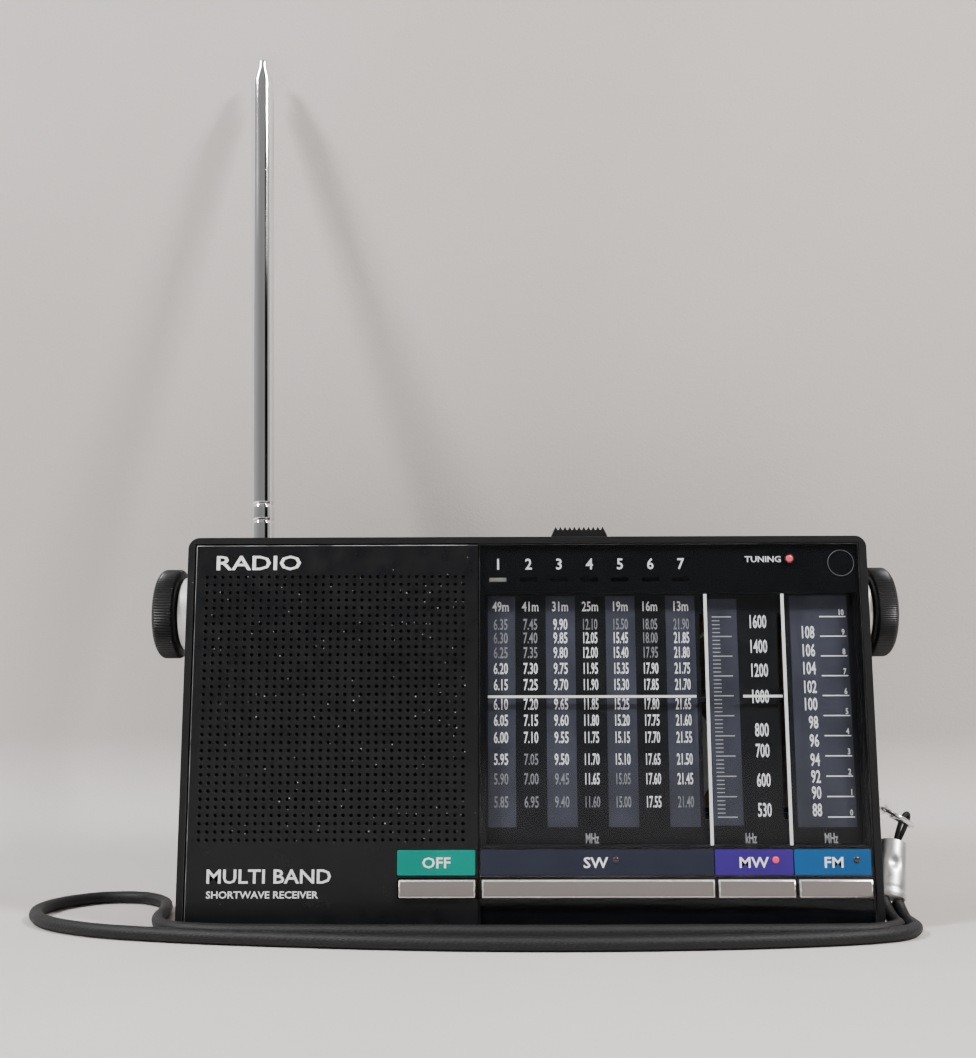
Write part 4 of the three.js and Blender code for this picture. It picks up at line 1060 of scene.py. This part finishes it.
def letters(words, place, height, width=1.0, align="centre", front=0.0, thickness=0.03, finish=0):
    """Words whose capitals are height millimetres tall, centred on place = (x, z). width
    squeezes them, and front is the place of their front face."""
    if words not in letter_store:
        letter_store[words] = raw_letters(words)
    points, faces = letter_store[words]
    scale = height / CAPITAL_HEIGHT
    x = points[:, 0] * scale * width
    if align == "centre":
        x = x - (x.min() + x.max()) / 2
    elif align == "right":
        x = x - x.max()
    else:
        x = x - x.min()
    z = (points[:, 1] - CAPITAL_HEIGHT / 2 - capital[:, 1].min()) * scale
    y = front + (0.5 - points[:, 2]) * thickness
    return np.stack([place[0] + x, y, place[1] + z], axis=1), faces, finish


def flat_mark(x_range, z_range, front, thickness=0.03, finish=0):
    """A plain printed rectangle."""
    return rounded_block(x_range, (front, front + thickness), z_range, 0.02, 0.005, finish, 1, 1)


# %% [markdown]
# ## The dial
# Seven shortwave columns of figures stand on alternately lighter and darker bands, then a
# ladder of ticks with the medium wave figures, and then the FM figures with a log scale.
# Some figures are bright, for the broadcast bands, and the others are dim.

# %% Dial places
scale_low = corners("scale_plate")[0]
dial_left, dial_bottom = scale_low[0], scale_low[2]
PRINT = 0.03
BAND_PRINT = 0.02
band_front = corners("scale_plate")[0][1] - BAND_PRINT
figure_front = band_front - PRINT
column_x = dial_left + np.array((3.8, 9.03, 14.31, 19.58, 24.94, 30.14, 35.6))
row_z = dial_bottom + np.array((38.21, 35.82, 33.25, 30.48, 27.67, 24.3, 21.51, 18.57, 14.84, 11.51, 7.61))
HEADER_Z = dial_bottom + 41.36
UNIT_Z = dial_bottom + 1.49
metre_bands = ("49m", "41m", "31m", "25m", "19m", "16m", "13m")
top_values = (6.35, 7.45, 9.90, 12.10, 15.50, 18.05, 21.90)
bright_spans = ((5.95, 6.20), (7.10, 7.30), (9.50, 9.90), (11.65, 12.05), (15.10, 15.45), (17.55, 17.90),
                (21.45, 21.85))
FIGURE_HEIGHT = 1.92
FIGURE_WIDTH = 0.55
BRIGHT, DIM, MID = 0, 1, 2

# %% Dial figures
dial_marks = []
for i, (x, name, top, (low, high)) in enumerate(zip(column_x, metre_bands, top_values, bright_spans)):
    dial_marks.append(letters(name, (x, HEADER_Z), 1.7, 0.7, front=figure_front, finish=BRIGHT))
    for step, z in enumerate(row_z):
        value = top - 0.05 * step
        words = f"{value:.2f}"
        lit = BRIGHT if low - 0.01 <= value <= high + 0.01 else DIM
        squeeze = FIGURE_WIDTH if len(words) == 4 else FIGURE_WIDTH * 0.84
        dial_marks.append(letters(words, (x, z), FIGURE_HEIGHT, squeeze, front=figure_front, finish=lit))

medium_wave = ((1600, 38.59), (1400, 34.25), (1200, 30.08), (1000, 25.54), (800, 19.79), (700, 16.25),
               (600, 11.26), (530, 6.22))
for value, z in medium_wave:
    dial_marks.append(letters(str(value), (dial_left + 49.1, dial_bottom + z), 2.3, 0.5,
                              front=figure_front, finish=BRIGHT))
fm_figures = ((108, 36.7), (106, 33.52), (104, 30.41), (102, 27.18), (100, 24.2), (98, 21.07), (96, 17.95),
              (94, 14.68), (92, 11.82), (90, 9.1), (88, 6.2))
for value, z in fm_figures:
    dial_marks.append(letters(str(value), (dial_left + 58.9, dial_bottom + z), 2.15, 0.55, "right",
                              front=figure_front, finish=BRIGHT))
for words, x in (("MHz", 19.4), ("kHz", 46.6), ("MHz", 60.3)):
    dial_marks.append(letters(words, (dial_left + x, UNIT_Z), 1.7, 0.5, front=figure_front, finish=MID))

# %% Ticks and the log scale
TICK_TOP = 39.43
TICK_PITCH = 3.443
long_ticks = dial_bottom + TICK_TOP - TICK_PITCH * np.arange(11)
tick_x = dial_left + 41.0
for i, z in enumerate(long_ticks):
    dial_marks.append(flat_mark((tick_x, tick_x + 3.4), (z - 0.09, z + 0.09), figure_front, finish=MID))
    log_x = dial_left + 59.9
    dial_marks.append(flat_mark((log_x, log_x + 4.6), (z - 0.09, z + 0.09), figure_front, finish=BRIGHT))
    dial_marks.append(letters(str(10 - i), (log_x + 4.3, z + 0.75), 1.0, 0.75, "right", front=figure_front,
                              finish=BRIGHT))
    if i < 10:
        for k in range(1, 5):
            short = z - TICK_PITCH * k / 5
            dial_marks.append(flat_mark((tick_x, tick_x + 1.35), (short - 0.07, short + 0.07), figure_front,
                                        finish=MID))
make_piece("dial_figures", dial_marks, "cabinet", [print_white, print_dim, print_mid],
           weighted=False)

# %% Lighter bands
columns = [(1.55, 6.37), (11.75, 16.92), (22.3, 27.48), (32.85, 38.03)]
band_marks = [
    flat_mark((dial_left + a, dial_left + b), (dial_bottom + 3.36, dial_bottom + 43.18), band_front,
              BAND_PRINT)
    for a, b in columns
]
band_marks.append(flat_mark((dial_left + 40.3, dial_left + 45.4), (dial_bottom + 3.6, dial_bottom + 42.6),
                            band_front, BAND_PRINT))
band_marks.append(flat_mark((dial_left + 54.7, dial_left + 64.8), (dial_bottom + 3.31, dial_bottom + 43.13),
                            band_front, BAND_PRINT))
make_piece("dial_bands", band_marks, "cabinet", [dial_band], weighted=False)

# %% [markdown]
# The window's back carries the two pale dividing lines, the column numbers, the word
# TUNING by its lamp and a faint ring in the corner.

# %% Window prints
print_front = window_high[1] + 0.01
flag_low = corners("band_slider")[0]
FLAG_PITCH = 5.35
first_flag_x = flag_low[0] + 1.8
NUMBER_Z = window_high[2] - 3.35
window_marks = [
    letters(str(i + 1), (first_flag_x + 0.05 + i * FLAG_PITCH, NUMBER_Z), 1.9, 0.95, front=print_front)
    for i in range(7)
]
window_marks.append(letters("TUNING", (41.5, window_high[2] - 2.6), 1.05, 1.12, front=print_front))
ring_turn = np.linspace(0, 2 * np.pi, 48, endpoint=False)
ring_line = np.stack([55.15 + 2.27 * np.cos(ring_turn), np.full(48, print_front + 0.035),
                      window_high[2] - 3.3 + 2.27 * np.sin(ring_turn)], axis=1)
corner_ring = tube_points(ring_line, 0.035, 4, closed=True, level=(0, 1, 0))
dividers = [
    flat_mark((x - 0.28, x + 0.28), (window_low[2] + 13.2, window_low[2] + 56.0), print_front, finish=1)
    for x in (31.15, 44.6)
]
make_piece("window_prints", window_marks + dividers + [skin(corner_ring, wrap_rows=True, finish=2)],
           "cabinet", [print_grey, print_line, print_dim], weighted=False)

# %% Panel words
panel_marks = [
    letters(words, (plate_low[0] + 3.6, z), height, width, "left", plate_low[1] - 0.02)
    for words, z, height, width in (
        ("RADIO", plate_high[2] - 3.1, 2.5, 1.4),
        ("MULTI BAND", plate_low[2] + 8.3, 2.3, 1.12),
        ("SHORTWAVE RECEIVER", plate_low[2] + 5.3, 1.15, 1.1),
    )
]
make_piece("panel_words", panel_marks, "cabinet", [print_grey], weighted=False)

# %% [markdown]
# ## Labels
# Four coloured strips lie in the pocket above the keys: teal for OFF, dark blue, purple
# and blue for the bands. Each is a thin rounded plate with its word on it.

# %% Label strips
strip_low, strip_high = corners("label_strip_bands")
SW_EDGE, MW_EDGE = 31.2, 44.55
STRIP_GAP = 0.15
labels = (
    ("off", "OFF", label_teal, label_low[0], label_high[0], -15.6, "label_teal"),
    ("sw", "SW", label_navy, strip_low[0], SW_EDGE, 11.3, "label_bands"),
    ("mw", "MW", label_purple, SW_EDGE + STRIP_GAP, MW_EDGE, 37.95, "label_bands"),
    ("fm", "FM", label_blue, MW_EDGE + STRIP_GAP, strip_high[0], 51.35, "label_bands"),
)
for key, words, finish, x0, x1, word_x, slot in labels:
    strip = rounded_block((x0, x1), (label_low[1], label_high[1]), (label_low[2], label_high[2]), 0.25, 0.07)
    word = letters(words, (word_x, (label_low[2] + label_high[2]) / 2), 1.75, 1.12, front=label_low[1] - 0.02,
                   finish=1)
    replaced = ("label_strip_off",) if key == "off" else ("label_strip_bands",)
    make_piece(f"label_{key}", [strip, word], "cabinet", [finish, print_white], replaced)

# %% Lamp lenses
for key, finish in (("sw", lamp_dark), ("mw", lamp_lit), ("fm", lamp_dark), ("tuning", lamp_lit)):
    low, high = corners(f"led_{key}")
    centre_x = middle(f"led_{key}")[0]
    centre_z = high[2] - 1.2
    dome = np.linspace(0, np.pi / 2, 6)
    lens = revolve([(0, 0.3), (0.6, 0.3), *zip(0.6 * np.cos(dome), -0.3 * np.sin(dome))],
                   (centre_x, low[1], centre_z), (0, 1, 0), 24)
    make_piece(f"lens_{key}", [lens], "cabinet", [finish], weighted=False)

# %% [markdown]
# ## Keys
# Four push keys stand a little out of the panel. They are satin grey with a bright edge,
# so the Bevel modifier gives its new faces the second material.

# %% Keys


def key_edges(mids):
    """Edges of a key's front face."""
    return mids[:, 1] < front_y - 0.7


for key in ("off", "sw", "mw", "fm"):
    softened(f"key_{key}", f"button_{key}", f"key_{key}", [key_grey, key_edge], 0.25, 2,
             key_edges, 1)

# %% [markdown]
# ## Knobs
# Each knob is a flat knurled disc whose face is slightly dished. A fine sawtooth, taken
# off the radius, cuts the knurl, and it fades out on the chamfers.

# %% Knobs
KNOB_THICKNESS = 4.1


def knob_skin(node, axis_sign, teeth, depth):
    """A dished disc with a knurled rim, from the CAD node's own ends and radius."""
    low, high = corners(node)
    radius = (high[1] - low[1]) / 2
    place = np.array((0.0, (low[1] + high[1]) / 2, (low[2] + high[2]) / 2))
    outer = high[0] if axis_sign > 0 else -low[0]
    inner = outer - KNOB_THICKNESS
    profile = np.array([
        (0, inner), (radius - 1.4, inner), (radius - 0.9, inner + 0.05), (radius - 0.35, inner + 0.2),
        (radius - 0.08, inner + 0.42), (radius, inner + 0.6), (radius, outer - 1.0),
        (radius - 0.06, outer - 0.75),
        (radius - 0.3, outer - 0.4), (radius - 0.75, outer - 0.1), (radius - 1.2, outer),
        (radius - 1.6, outer - 0.03), (radius - 2.0, outer - 0.22), (radius * 0.4, outer - 0.3),
        (0, outer - 0.32),
    ])
    fade = np.array([0, 0, 0.3, 0.9, 1, 1, 1, 1, 0.9, 0.3, 0, 0, 0, 0, 0])
    per_tooth = 4
    sides = teeth * per_tooth
    wave = np.tile(np.array([0, 0.35, 1, 0.35]), teeth)
    cut = depth * fade[:, None] * wave[None, :]
    return revolve(profile, place, (axis_sign, 0, 0), sides, cut=cut)


make_piece("knob_tuning", [knob_skin("tuning_knob", 1, 128, 0.13)], "tuning", [knob_black],
           ("tuning_knob",), weighted=False)
volume_low, volume_high = corners("volume_knob")
shaft = revolve(rounded_profile(1.5, 0, volume_high[0] - volume_low[0] - 2.5, 0.15),
                (volume_low[0] + 2.5, 0, middle("volume_knob")[2]), (1, 0, 0), 32)
make_piece("knob_volume", [knob_skin("volume_knob", -1, 100, 0.17), shaft], "volume", [knob_black],
           ("volume_knob",), weighted=False)

# %% Trim rings


def ring_skin(node, bore):
    """A flat washer with rounded edges round an X axis."""
    low, high = corners(node)
    radius = (high[2] - low[2]) / 2
    length = high[0] - low[0]
    edge = 0.25
    turn = np.linspace(0, np.pi / 2, 5)
    profile = [(bore, 0), *zip(radius - edge + edge * np.sin(turn), edge - edge * np.cos(turn)),
               *zip(radius - edge + edge * np.cos(turn), length - edge + edge * np.sin(turn)), (bore, length)]
    return revolve(profile, (low[0], 0, (low[2] + high[2]) / 2), (1, 0, 0), 96, closed=True)


for key in ("tuning", "volume"):
    make_piece(f"ring_{key}", [ring_skin(f"{key}_ring", 1.6)], key, [ring_silver],
               (f"{key}_ring",))

# %% [markdown]
# ## Small mouldings
# The side pad, the band slider, the battery cover and the screws keep the frame's shape,
# with rounded edges.

# %% Mouldings
# The side pad's rounded edges take the same paler edge finish: rubbed wear and a painted edge highlight.
softened("side_pad", "side_plate", "cabinet", [pad_black, case_edge_wear_and_highlight], 0.12, 2, edge_finish=1)
softened("slider", "band_slider", "selector", [case_black], 0.09, 2,
         lambda mids: mids[:, 2] > case_high[2])
softened("cover", "battery_cover", "cover", [case_black], 0.2, 2,
         lambda mids: mids[:, 1] > back_y - 0.3)
for i in (1, 2, 3):
    softened(f"screw_{i}", f"case_screw_{i}", "cabinet", [screw_black], 0.18, 3,
             lambda mids: mids[:, 1] > back_y - 1.5)

# %% Cover grip
cover_low = corners("battery_cover")[0]
grip_ridges = [
    rounded_block((x - 0.35, x + 0.35), (back_y - 0.1, back_y + 0.28), (6.5, 14.1), 0.3, 0.18)
    for x in cover_low[0] + 7 + 1.4 * np.arange(8)
]
make_piece("cover_grip", grip_ridges, "cover", [case_black])

# %% [markdown]
# The back carries a few pale prints: an arrow that shows which way the cover slides, and a
# drawing of the two cells with their poles. Each screw's head gets a dark cross: painted shade
# where its cross recess is. Prints for the back are laid out as for the front and turned half
# way round the upright axis.

# %% Prints on the back


def from_behind(marks):
    """Skins turned half way round the upright axis: X and Y change their signs."""
    return [(points * np.array((-1, -1, 1)), faces, finish) for points, faces, finish in marks]


def outline_marks(x_range, z_range, front, width=0.18, finish=0):
    """Four thin bars round a rectangle. The upright ones fit between the level ones."""
    (x0, x1), (z0, z1) = x_range, z_range
    bars = [((x0, x1), (z0, z0 + width)), ((x0, x1), (z1 - width, z1)),
            ((x0, x0 + width), (z0 + width + 0.02, z1 - width - 0.02)),
            ((x1 - width, x1), (z0 + width + 0.02, z1 - width - 0.02))]
    return [flat_mark(x, z, front, finish=finish) for x, z in bars]


back_front = -back_y - 0.02
cell_marks = []
for left in (-27.0, 1.5):
    cell_marks += outline_marks((left, left + 25.5), (21.4, 26.2), back_front)
    cell_marks.append(flat_mark((left + 25.6, left + 26.5), (22.8, 24.8), back_front))
    cell_marks.append(flat_mark((left + 3.0, left + 4.8), (23.7, 23.95), back_front))
    cell_marks.append(flat_mark((left + 21.4, left + 23.2), (23.7, 23.95), back_front))
    cell_marks.append(flat_mark((left + 22.18, left + 22.42), (22.92, 23.66), back_front))
    cell_marks.append(flat_mark((left + 22.18, left + 22.42), (23.99, 24.73), back_front))
make_piece("cell_drawing", from_behind(cell_marks), "cabinet", [print_mid], weighted=False)

arrow_tip = -cover_low[0] - 19
arrow = np.array([(0, 0), (-2.4, 1.5), (-2.4, 0.5), (-5.2, 0.5), (-5.2, -0.5), (-2.4, -0.5), (-2.4, -1.5)])
arrow_rows = [
    np.stack([arrow_tip + arrow[:, 0], np.full(7, y), 10.3 + arrow[:, 1]], axis=1)
    for y in (back_front, back_front + 0.03)
]
make_piece("slide_arrow", from_behind([skin(np.array(arrow_rows))]), "cover", [print_mid],
           weighted=False)
# Dark crosses on the screw heads: painted shade where each cross recess is.
screw_recess_shade_marks = []
for i in (1, 2, 3):
    x, z = -middle(f"case_screw_{i}")[0], middle(f"case_screw_{i}")[2]
    face = -corners(f"case_screw_{i}")[1][1] - 0.015
    screw_recess_shade_marks += [
        flat_mark((x - 1.15, x + 1.15), (z - 0.22, z + 0.22), face),
        flat_mark((x - 0.22, x + 0.22), (z + 0.24, z + 1.15), face),
        flat_mark((x - 0.22, x + 0.22), (z - 1.15, z - 0.24), face),
    ]
make_piece("screw_cross_shade", from_behind(screw_recess_shade_marks), "cabinet", [case_black], weighted=False)

# %% White flag
arm_front = window_high[1] + 0.6
flag_z = window_high[2] - 6.1
flag = rounded_block((first_flag_x - 1.6, first_flag_x + 1.6), (arm_front - 0.06, arm_front + 0.02),
                     (flag_z - 0.75, flag_z + 0.75), 0.2, 0.02)
make_piece("band_flag", [flag], "selector", [white_plastic])

# %% [markdown]
# ## The antenna
# Five polished tubes slide into each other. The outer one has two rolled grooves above a
# flat tang, and the innermost one ends in a small cap. All of them turn about one leaning
# line, which starts at the hinge pin.

# %% Antenna line
fold = next(j for j in frame["joints"] if j["name"] == "antenna_fold")
slide = next(j for j in frame["joints"] if j["name"] == "antenna_slide_2")
pivot = np.array(fold["pos_m"]) / MM
lean = np.array(slide["axis"])
TUBE_SIDES = 64
TUBE_RADIUS = 2.25
TUBE_STEP = 0.325
TUBE_TOP = 101.7
SHOULDER = 0.85
SOLID_FOOT = 14
print("antenna pivot", pivot.round(2), "lean", lean.round(4))

# %% Outer tube


def grooved_tube():
    """The outer tube: a rounded foot, two rolled grooves, and a mouth rolled inwards."""
    profile = [(0, 4.6), (TUBE_RADIUS - 0.4, 4.6), (TUBE_RADIUS - 0.12, 4.7), (TUBE_RADIUS, 5.0)]
    dip = np.linspace(-1, 1, 9)
    for start in (9.2, 12.4):
        profile.extend(zip(TUBE_RADIUS - 0.2 * np.cos(dip * np.pi / 2) ** 2, start + 0.5 + dip * 0.55))
    profile.extend([
        (TUBE_RADIUS, TUBE_TOP - 0.4), (TUBE_RADIUS - 0.06, TUBE_TOP - 0.12), (TUBE_RADIUS - 0.2, TUBE_TOP),
        (TUBE_RADIUS - 0.28, TUBE_TOP - 0.02), (TUBE_RADIUS - 0.3, TUBE_TOP - 1),
        (TUBE_RADIUS - 0.3, SOLID_FOOT), (0, SOLID_FOOT),
    ])
    return revolve(profile, pivot, lean, TUBE_SIDES)


def ring_plate(outline, hole, y_range):
    """A flat plate round a hole: outline and hole have the same number of (x, z) points."""
    rows = [(outline, y_range[0]), (outline, y_range[1]), (hole, y_range[1]), (hole, y_range[0])]
    grid = np.array([np.stack([flat[:, 0], np.full(len(flat), y), flat[:, 1]], axis=1) for flat, y in rows])
    return skin(grid, wrap_rows=True)


def tang():
    """The flat eye on the pin: round below it, straight-sided up to the tube's foot."""
    turn = np.arange(48) / 48 * 2 * np.pi
    reach = np.full(48, 1.6)
    up = np.sin(turn) > 0
    reach[up] = np.minimum(1.6 / np.maximum(np.abs(np.cos(turn[up])), 1e-6), 4.8 / np.sin(turn[up]))
    spin = math.atan2(-lean[0], lean[2])
    turned = turn + spin
    outline = np.stack([pivot[0] + reach * np.cos(turned), pivot[2] + reach * np.sin(turned)], axis=1)
    hole = np.stack([pivot[0] + 0.7 * np.cos(turned), pivot[2] + 0.7 * np.sin(turned)], axis=1)
    return ring_plate(outline, hole, (pivot[1] - 1, pivot[1] + 1))


make_piece("antenna_tube_1", [grooved_tube(), tang()], "antenna_1", [tube_chrome],
           ("antenna_section_1",))

# %% Inner tubes
for index in (1, 2, 3, 4):
    radius = TUBE_RADIUS - index * TUBE_STEP
    low_end = SOLID_FOOT + index * 0.3
    high_end = TUBE_TOP + index * SHOULDER
    if index < 4:
        profile = [
            (radius - 0.25, low_end), (radius, low_end), (radius, high_end - 0.2),
            (radius - 0.05, high_end - 0.06), (radius - 0.14, high_end), (radius - 0.22, high_end - 0.03),
            (radius - 0.25, high_end - 0.2),
        ]
        tube = revolve(profile, pivot, lean, TUBE_SIDES, closed=True)
    else:
        dome = np.linspace(0, np.pi / 2, 6)
        cap = zip(radius * np.cos(dome), high_end + 0.75 + 0.62 * np.sin(dome))
        profile = [(0, low_end), (radius, low_end), (radius, high_end + 0.1), (radius - 0.12, high_end + 0.2),
                   (radius - 0.12, high_end + 0.3), (radius, high_end + 0.4), *cap]
        tube = revolve(profile, pivot, lean, TUBE_SIDES)
    make_piece(f"antenna_tube_{index + 1}", [tube], f"antenna_{index + 1}", [tube_chrome],
               (f"antenna_section_{index + 1}",))

# %% Swivel
softened("swivel", "antenna_base", "swivel", [bright_metal], 0.18, 3)
pin_low, pin_high = corners("antenna_pin")
pin = revolve(rounded_profile(0.6, pin_low[1], pin_high[1], 0.12),
              ((pin_low[0] + pin_high[0]) / 2, 0, (pin_low[2] + pin_high[2]) / 2), (0, 1, 0), 32)
make_piece("hinge_pin", [pin], "swivel", [steel], ("antenna_pin",))

# %% [markdown]
# ## The strap's fittings
# A lug stands out of the case's end. A wire ring hangs from it, a loop of thin cord holds
# the ring, and a flattened metal ferrule clamps the loop and both ends of the strap.

# %% Strap
strap_radius = braid_radius(strap_run, 32, STRAP_RADIUS, 8, 0.92, 0.11)
strap = make_piece("strap", [skin(tube_points(strap_line, strap_radius, 32))], "cabinet", [strap_black],
                   ("strap_cord",), weighted=False, sharp=80)
print("strap faces", len(strap.data.polygons))

# %% Lug and wire ring
softened("lug", "strap_lug", "cabinet", [bright_metal], 0.15, 3)
WIRE_RADIUS = 0.4
RING_RADIUS = 3.0
ring_centre = middle("strap_ring")
RING_SLOPE = math.radians(31)
ring_turn = np.linspace(0, 2 * np.pi, 72, endpoint=False)
ring_out = np.array((math.cos(RING_SLOPE), 0, -math.sin(RING_SLOPE)))
wire_line = ring_centre + RING_RADIUS * (
    np.cos(ring_turn)[:, None] * ring_out + np.sin(ring_turn)[:, None] * np.array((0, 1.0, 0))
)
ring_normal = np.cross(ring_out, (0, 1.0, 0))
wire = make_piece("wire_ring", [skin(tube_points(wire_line, WIRE_RADIUS, 16, closed=True, level=ring_normal),
                                     wrap_rows=True)],
                  "cabinet", [bright_metal], ("strap_ring",))

# %% [markdown]
# The ferrule is a flattened tube that widens towards the strap. Its sections are ellipses
# along a straight line, with rolled ends and a shallow pressed dimple on the front.

# %% Ferrule
ferrule_top = np.array((ring_centre[0] - 0.67, 0, 13.5))
ferrule_end = np.array((ring_centre[0] - 3.17, -4.3, 4.6))


def ferrule_skin(rows=40, sides=64):
    """Ellipses along the ferrule's line. A pressed dimple takes a round bump off the front."""
    axis = ferrule_end - ferrule_top
    length = np.linalg.norm(axis)
    axis = axis / length
    across = np.array((1.0, 0, 0)) - axis[0] * axis
    across = across / np.linalg.norm(across)
    deep = np.cross(across, axis)
    share = np.linspace(0, 1, rows)
    wide = 2.2 + 0.4 * share
    wide = wide + 0.1 * np.exp(-((share - 0.94) / 0.04) ** 2) - 0.1 * np.exp(-((share - 0.86) / 0.03) ** 2)
    turn = np.arange(sides) / sides * 2 * np.pi
    press = np.zeros((rows, sides))
    for face in (np.pi / 2, 1.5 * np.pi):
        around = np.exp(-((turn[None] - face) / 0.42) ** 2)
        press = press + np.exp(-((share[:, None] - 0.42) / 0.09) ** 2) * around
    flat = wide[:, None] * (1 - 0.22 * press)
    points = (
        ferrule_top + share[:, None, None] * axis * length
        + (flat * np.cos(turn))[..., None] * across
        + (0.66 * flat * np.sin(turn))[..., None] * deep
    )
    rim = points[[0, 0]].copy()
    rim[0] = ferrule_top + (points[0] - ferrule_top) * 0.7
    rim[1] = ferrule_top + (points[0] - ferrule_top) * 0.9 - axis * 0.08
    tail = points[[-1, -1]].copy()
    tail[0] = ferrule_end + (points[-1] - ferrule_end) * 0.94
    tail[1] = ferrule_end + (points[-1] - ferrule_end) * 0.8 - axis * 0.5
    return skin(np.concatenate([rim, points, tail]))


ferrule = make_piece("ferrule", [ferrule_skin()], "cabinet", [ferrule_metal],
                     ("strap_ferrule",), sharp=50, weighted=False)

# %% Thin loop
loop_turn = np.linspace(0, 2 * np.pi, 96, endpoint=False)
loop_low, loop_high = ferrule_top + np.array((0.15, -0.25, -0.6)), ring_centre + np.array((1.9, 0, 0.6))
loop_middle = (loop_low + loop_high) / 2
loop_axis = (loop_high - loop_low) / 2
loop_side = np.array((0.75, 0.55, 0.0))
loop_line = (
    loop_middle
    - np.cos(loop_turn)[:, None] * loop_axis
    + (np.sin(loop_turn) * (0.9 + 0.45 * np.cos(loop_turn + np.pi)))[:, None] * loop_side
)
loop = make_piece("thin_loop", [skin(tube_points(loop_line, 0.42, 12, closed=True, level=(0.5, -0.8, 0.1)),
                                     wrap_rows=True)],
                  "cabinet", [strap_black], weighted=False)

# %% [markdown]
# ## Inside
# The loudspeaker shows through the grille, and the rest shows when a cover is open or the
# pointer moves. The frame's own shapes stay there, with finishes of their own.

# %% Pointer finish


def pointer_finish():
    """White where the blade crosses the figures, and black elsewhere. Two comparisons of
    the X coordinate mark each white stretch, and one of Y keeps it in front of the plate."""
    finish = Finish("pointer paint", Roughness=0.5, Specular_IOR_Level=0.2)
    along = finish.axis("X")
    white = 0
    for low, high in ((-6.85, 29.3), (37.4, 44.2)):
        stretch = finish.times(
            finish.math("GREATER_THAN", along, low * MM), finish.math("LESS_THAN", along, high * MM)
        )
        white = finish.math("MAXIMUM", white, stretch)
    ahead = finish.math("LESS_THAN", finish.axis("Y"), scale_low[1] * MM)
    patches = finish.span(finish.noise(3, 3), 0.3, 0.7, 0, 1)
    uneven = finish.mix(patches, (0.74, 0.73, 0.71), (0.84, 0.83, 0.81))
    finish.colour(finish.mix(finish.times(white, ahead), (0.006, 0.006, 0.007), uneven))
    finish.roughness(finish.span(finish.noise(2, 3), 0.3, 0.7, 0.4, 0.6))
    return finish.material


# %% Inner parts
inner = {
    "dial_mask": mask_gloss, "scale_plate": dial_black, "dial_pointer": pointer_finish(),
    "led_sw": inner_black, "led_mw": inner_black, "led_fm": inner_black, "led_tuning": inner_black,
    "key_board": board_brown, "key_switch_off": inner_black, "key_switch_sw": inner_black,
    "key_switch_mw": inner_black, "key_switch_fm": inner_black, "speaker_frame": steel,
    "speaker_cone": paper_black, "main_board": board_brown, "tuning_capacitor": tinned,
    "volume_pot": tinned, "band_switch": tinned, "ferrite_rod": ferrite, "tuning_spindle": steel,
    "idler_upper": white_plastic, "idler_lower": white_plastic, "tuning_drum": white_plastic,
    "dial_cord": cord_thread, "earphone_jack": inner_black, "battery_cell_right": cell_wrap,
    "battery_cell_left": cell_wrap, "battery_contact": steel, "battery_spring": steel,
}
for node, finish in inner.items():
    mesh = frame["nodes"][node].data
    mesh.materials.clear()
    mesh.materials.append(finish)
print("inner parts", len(inner))
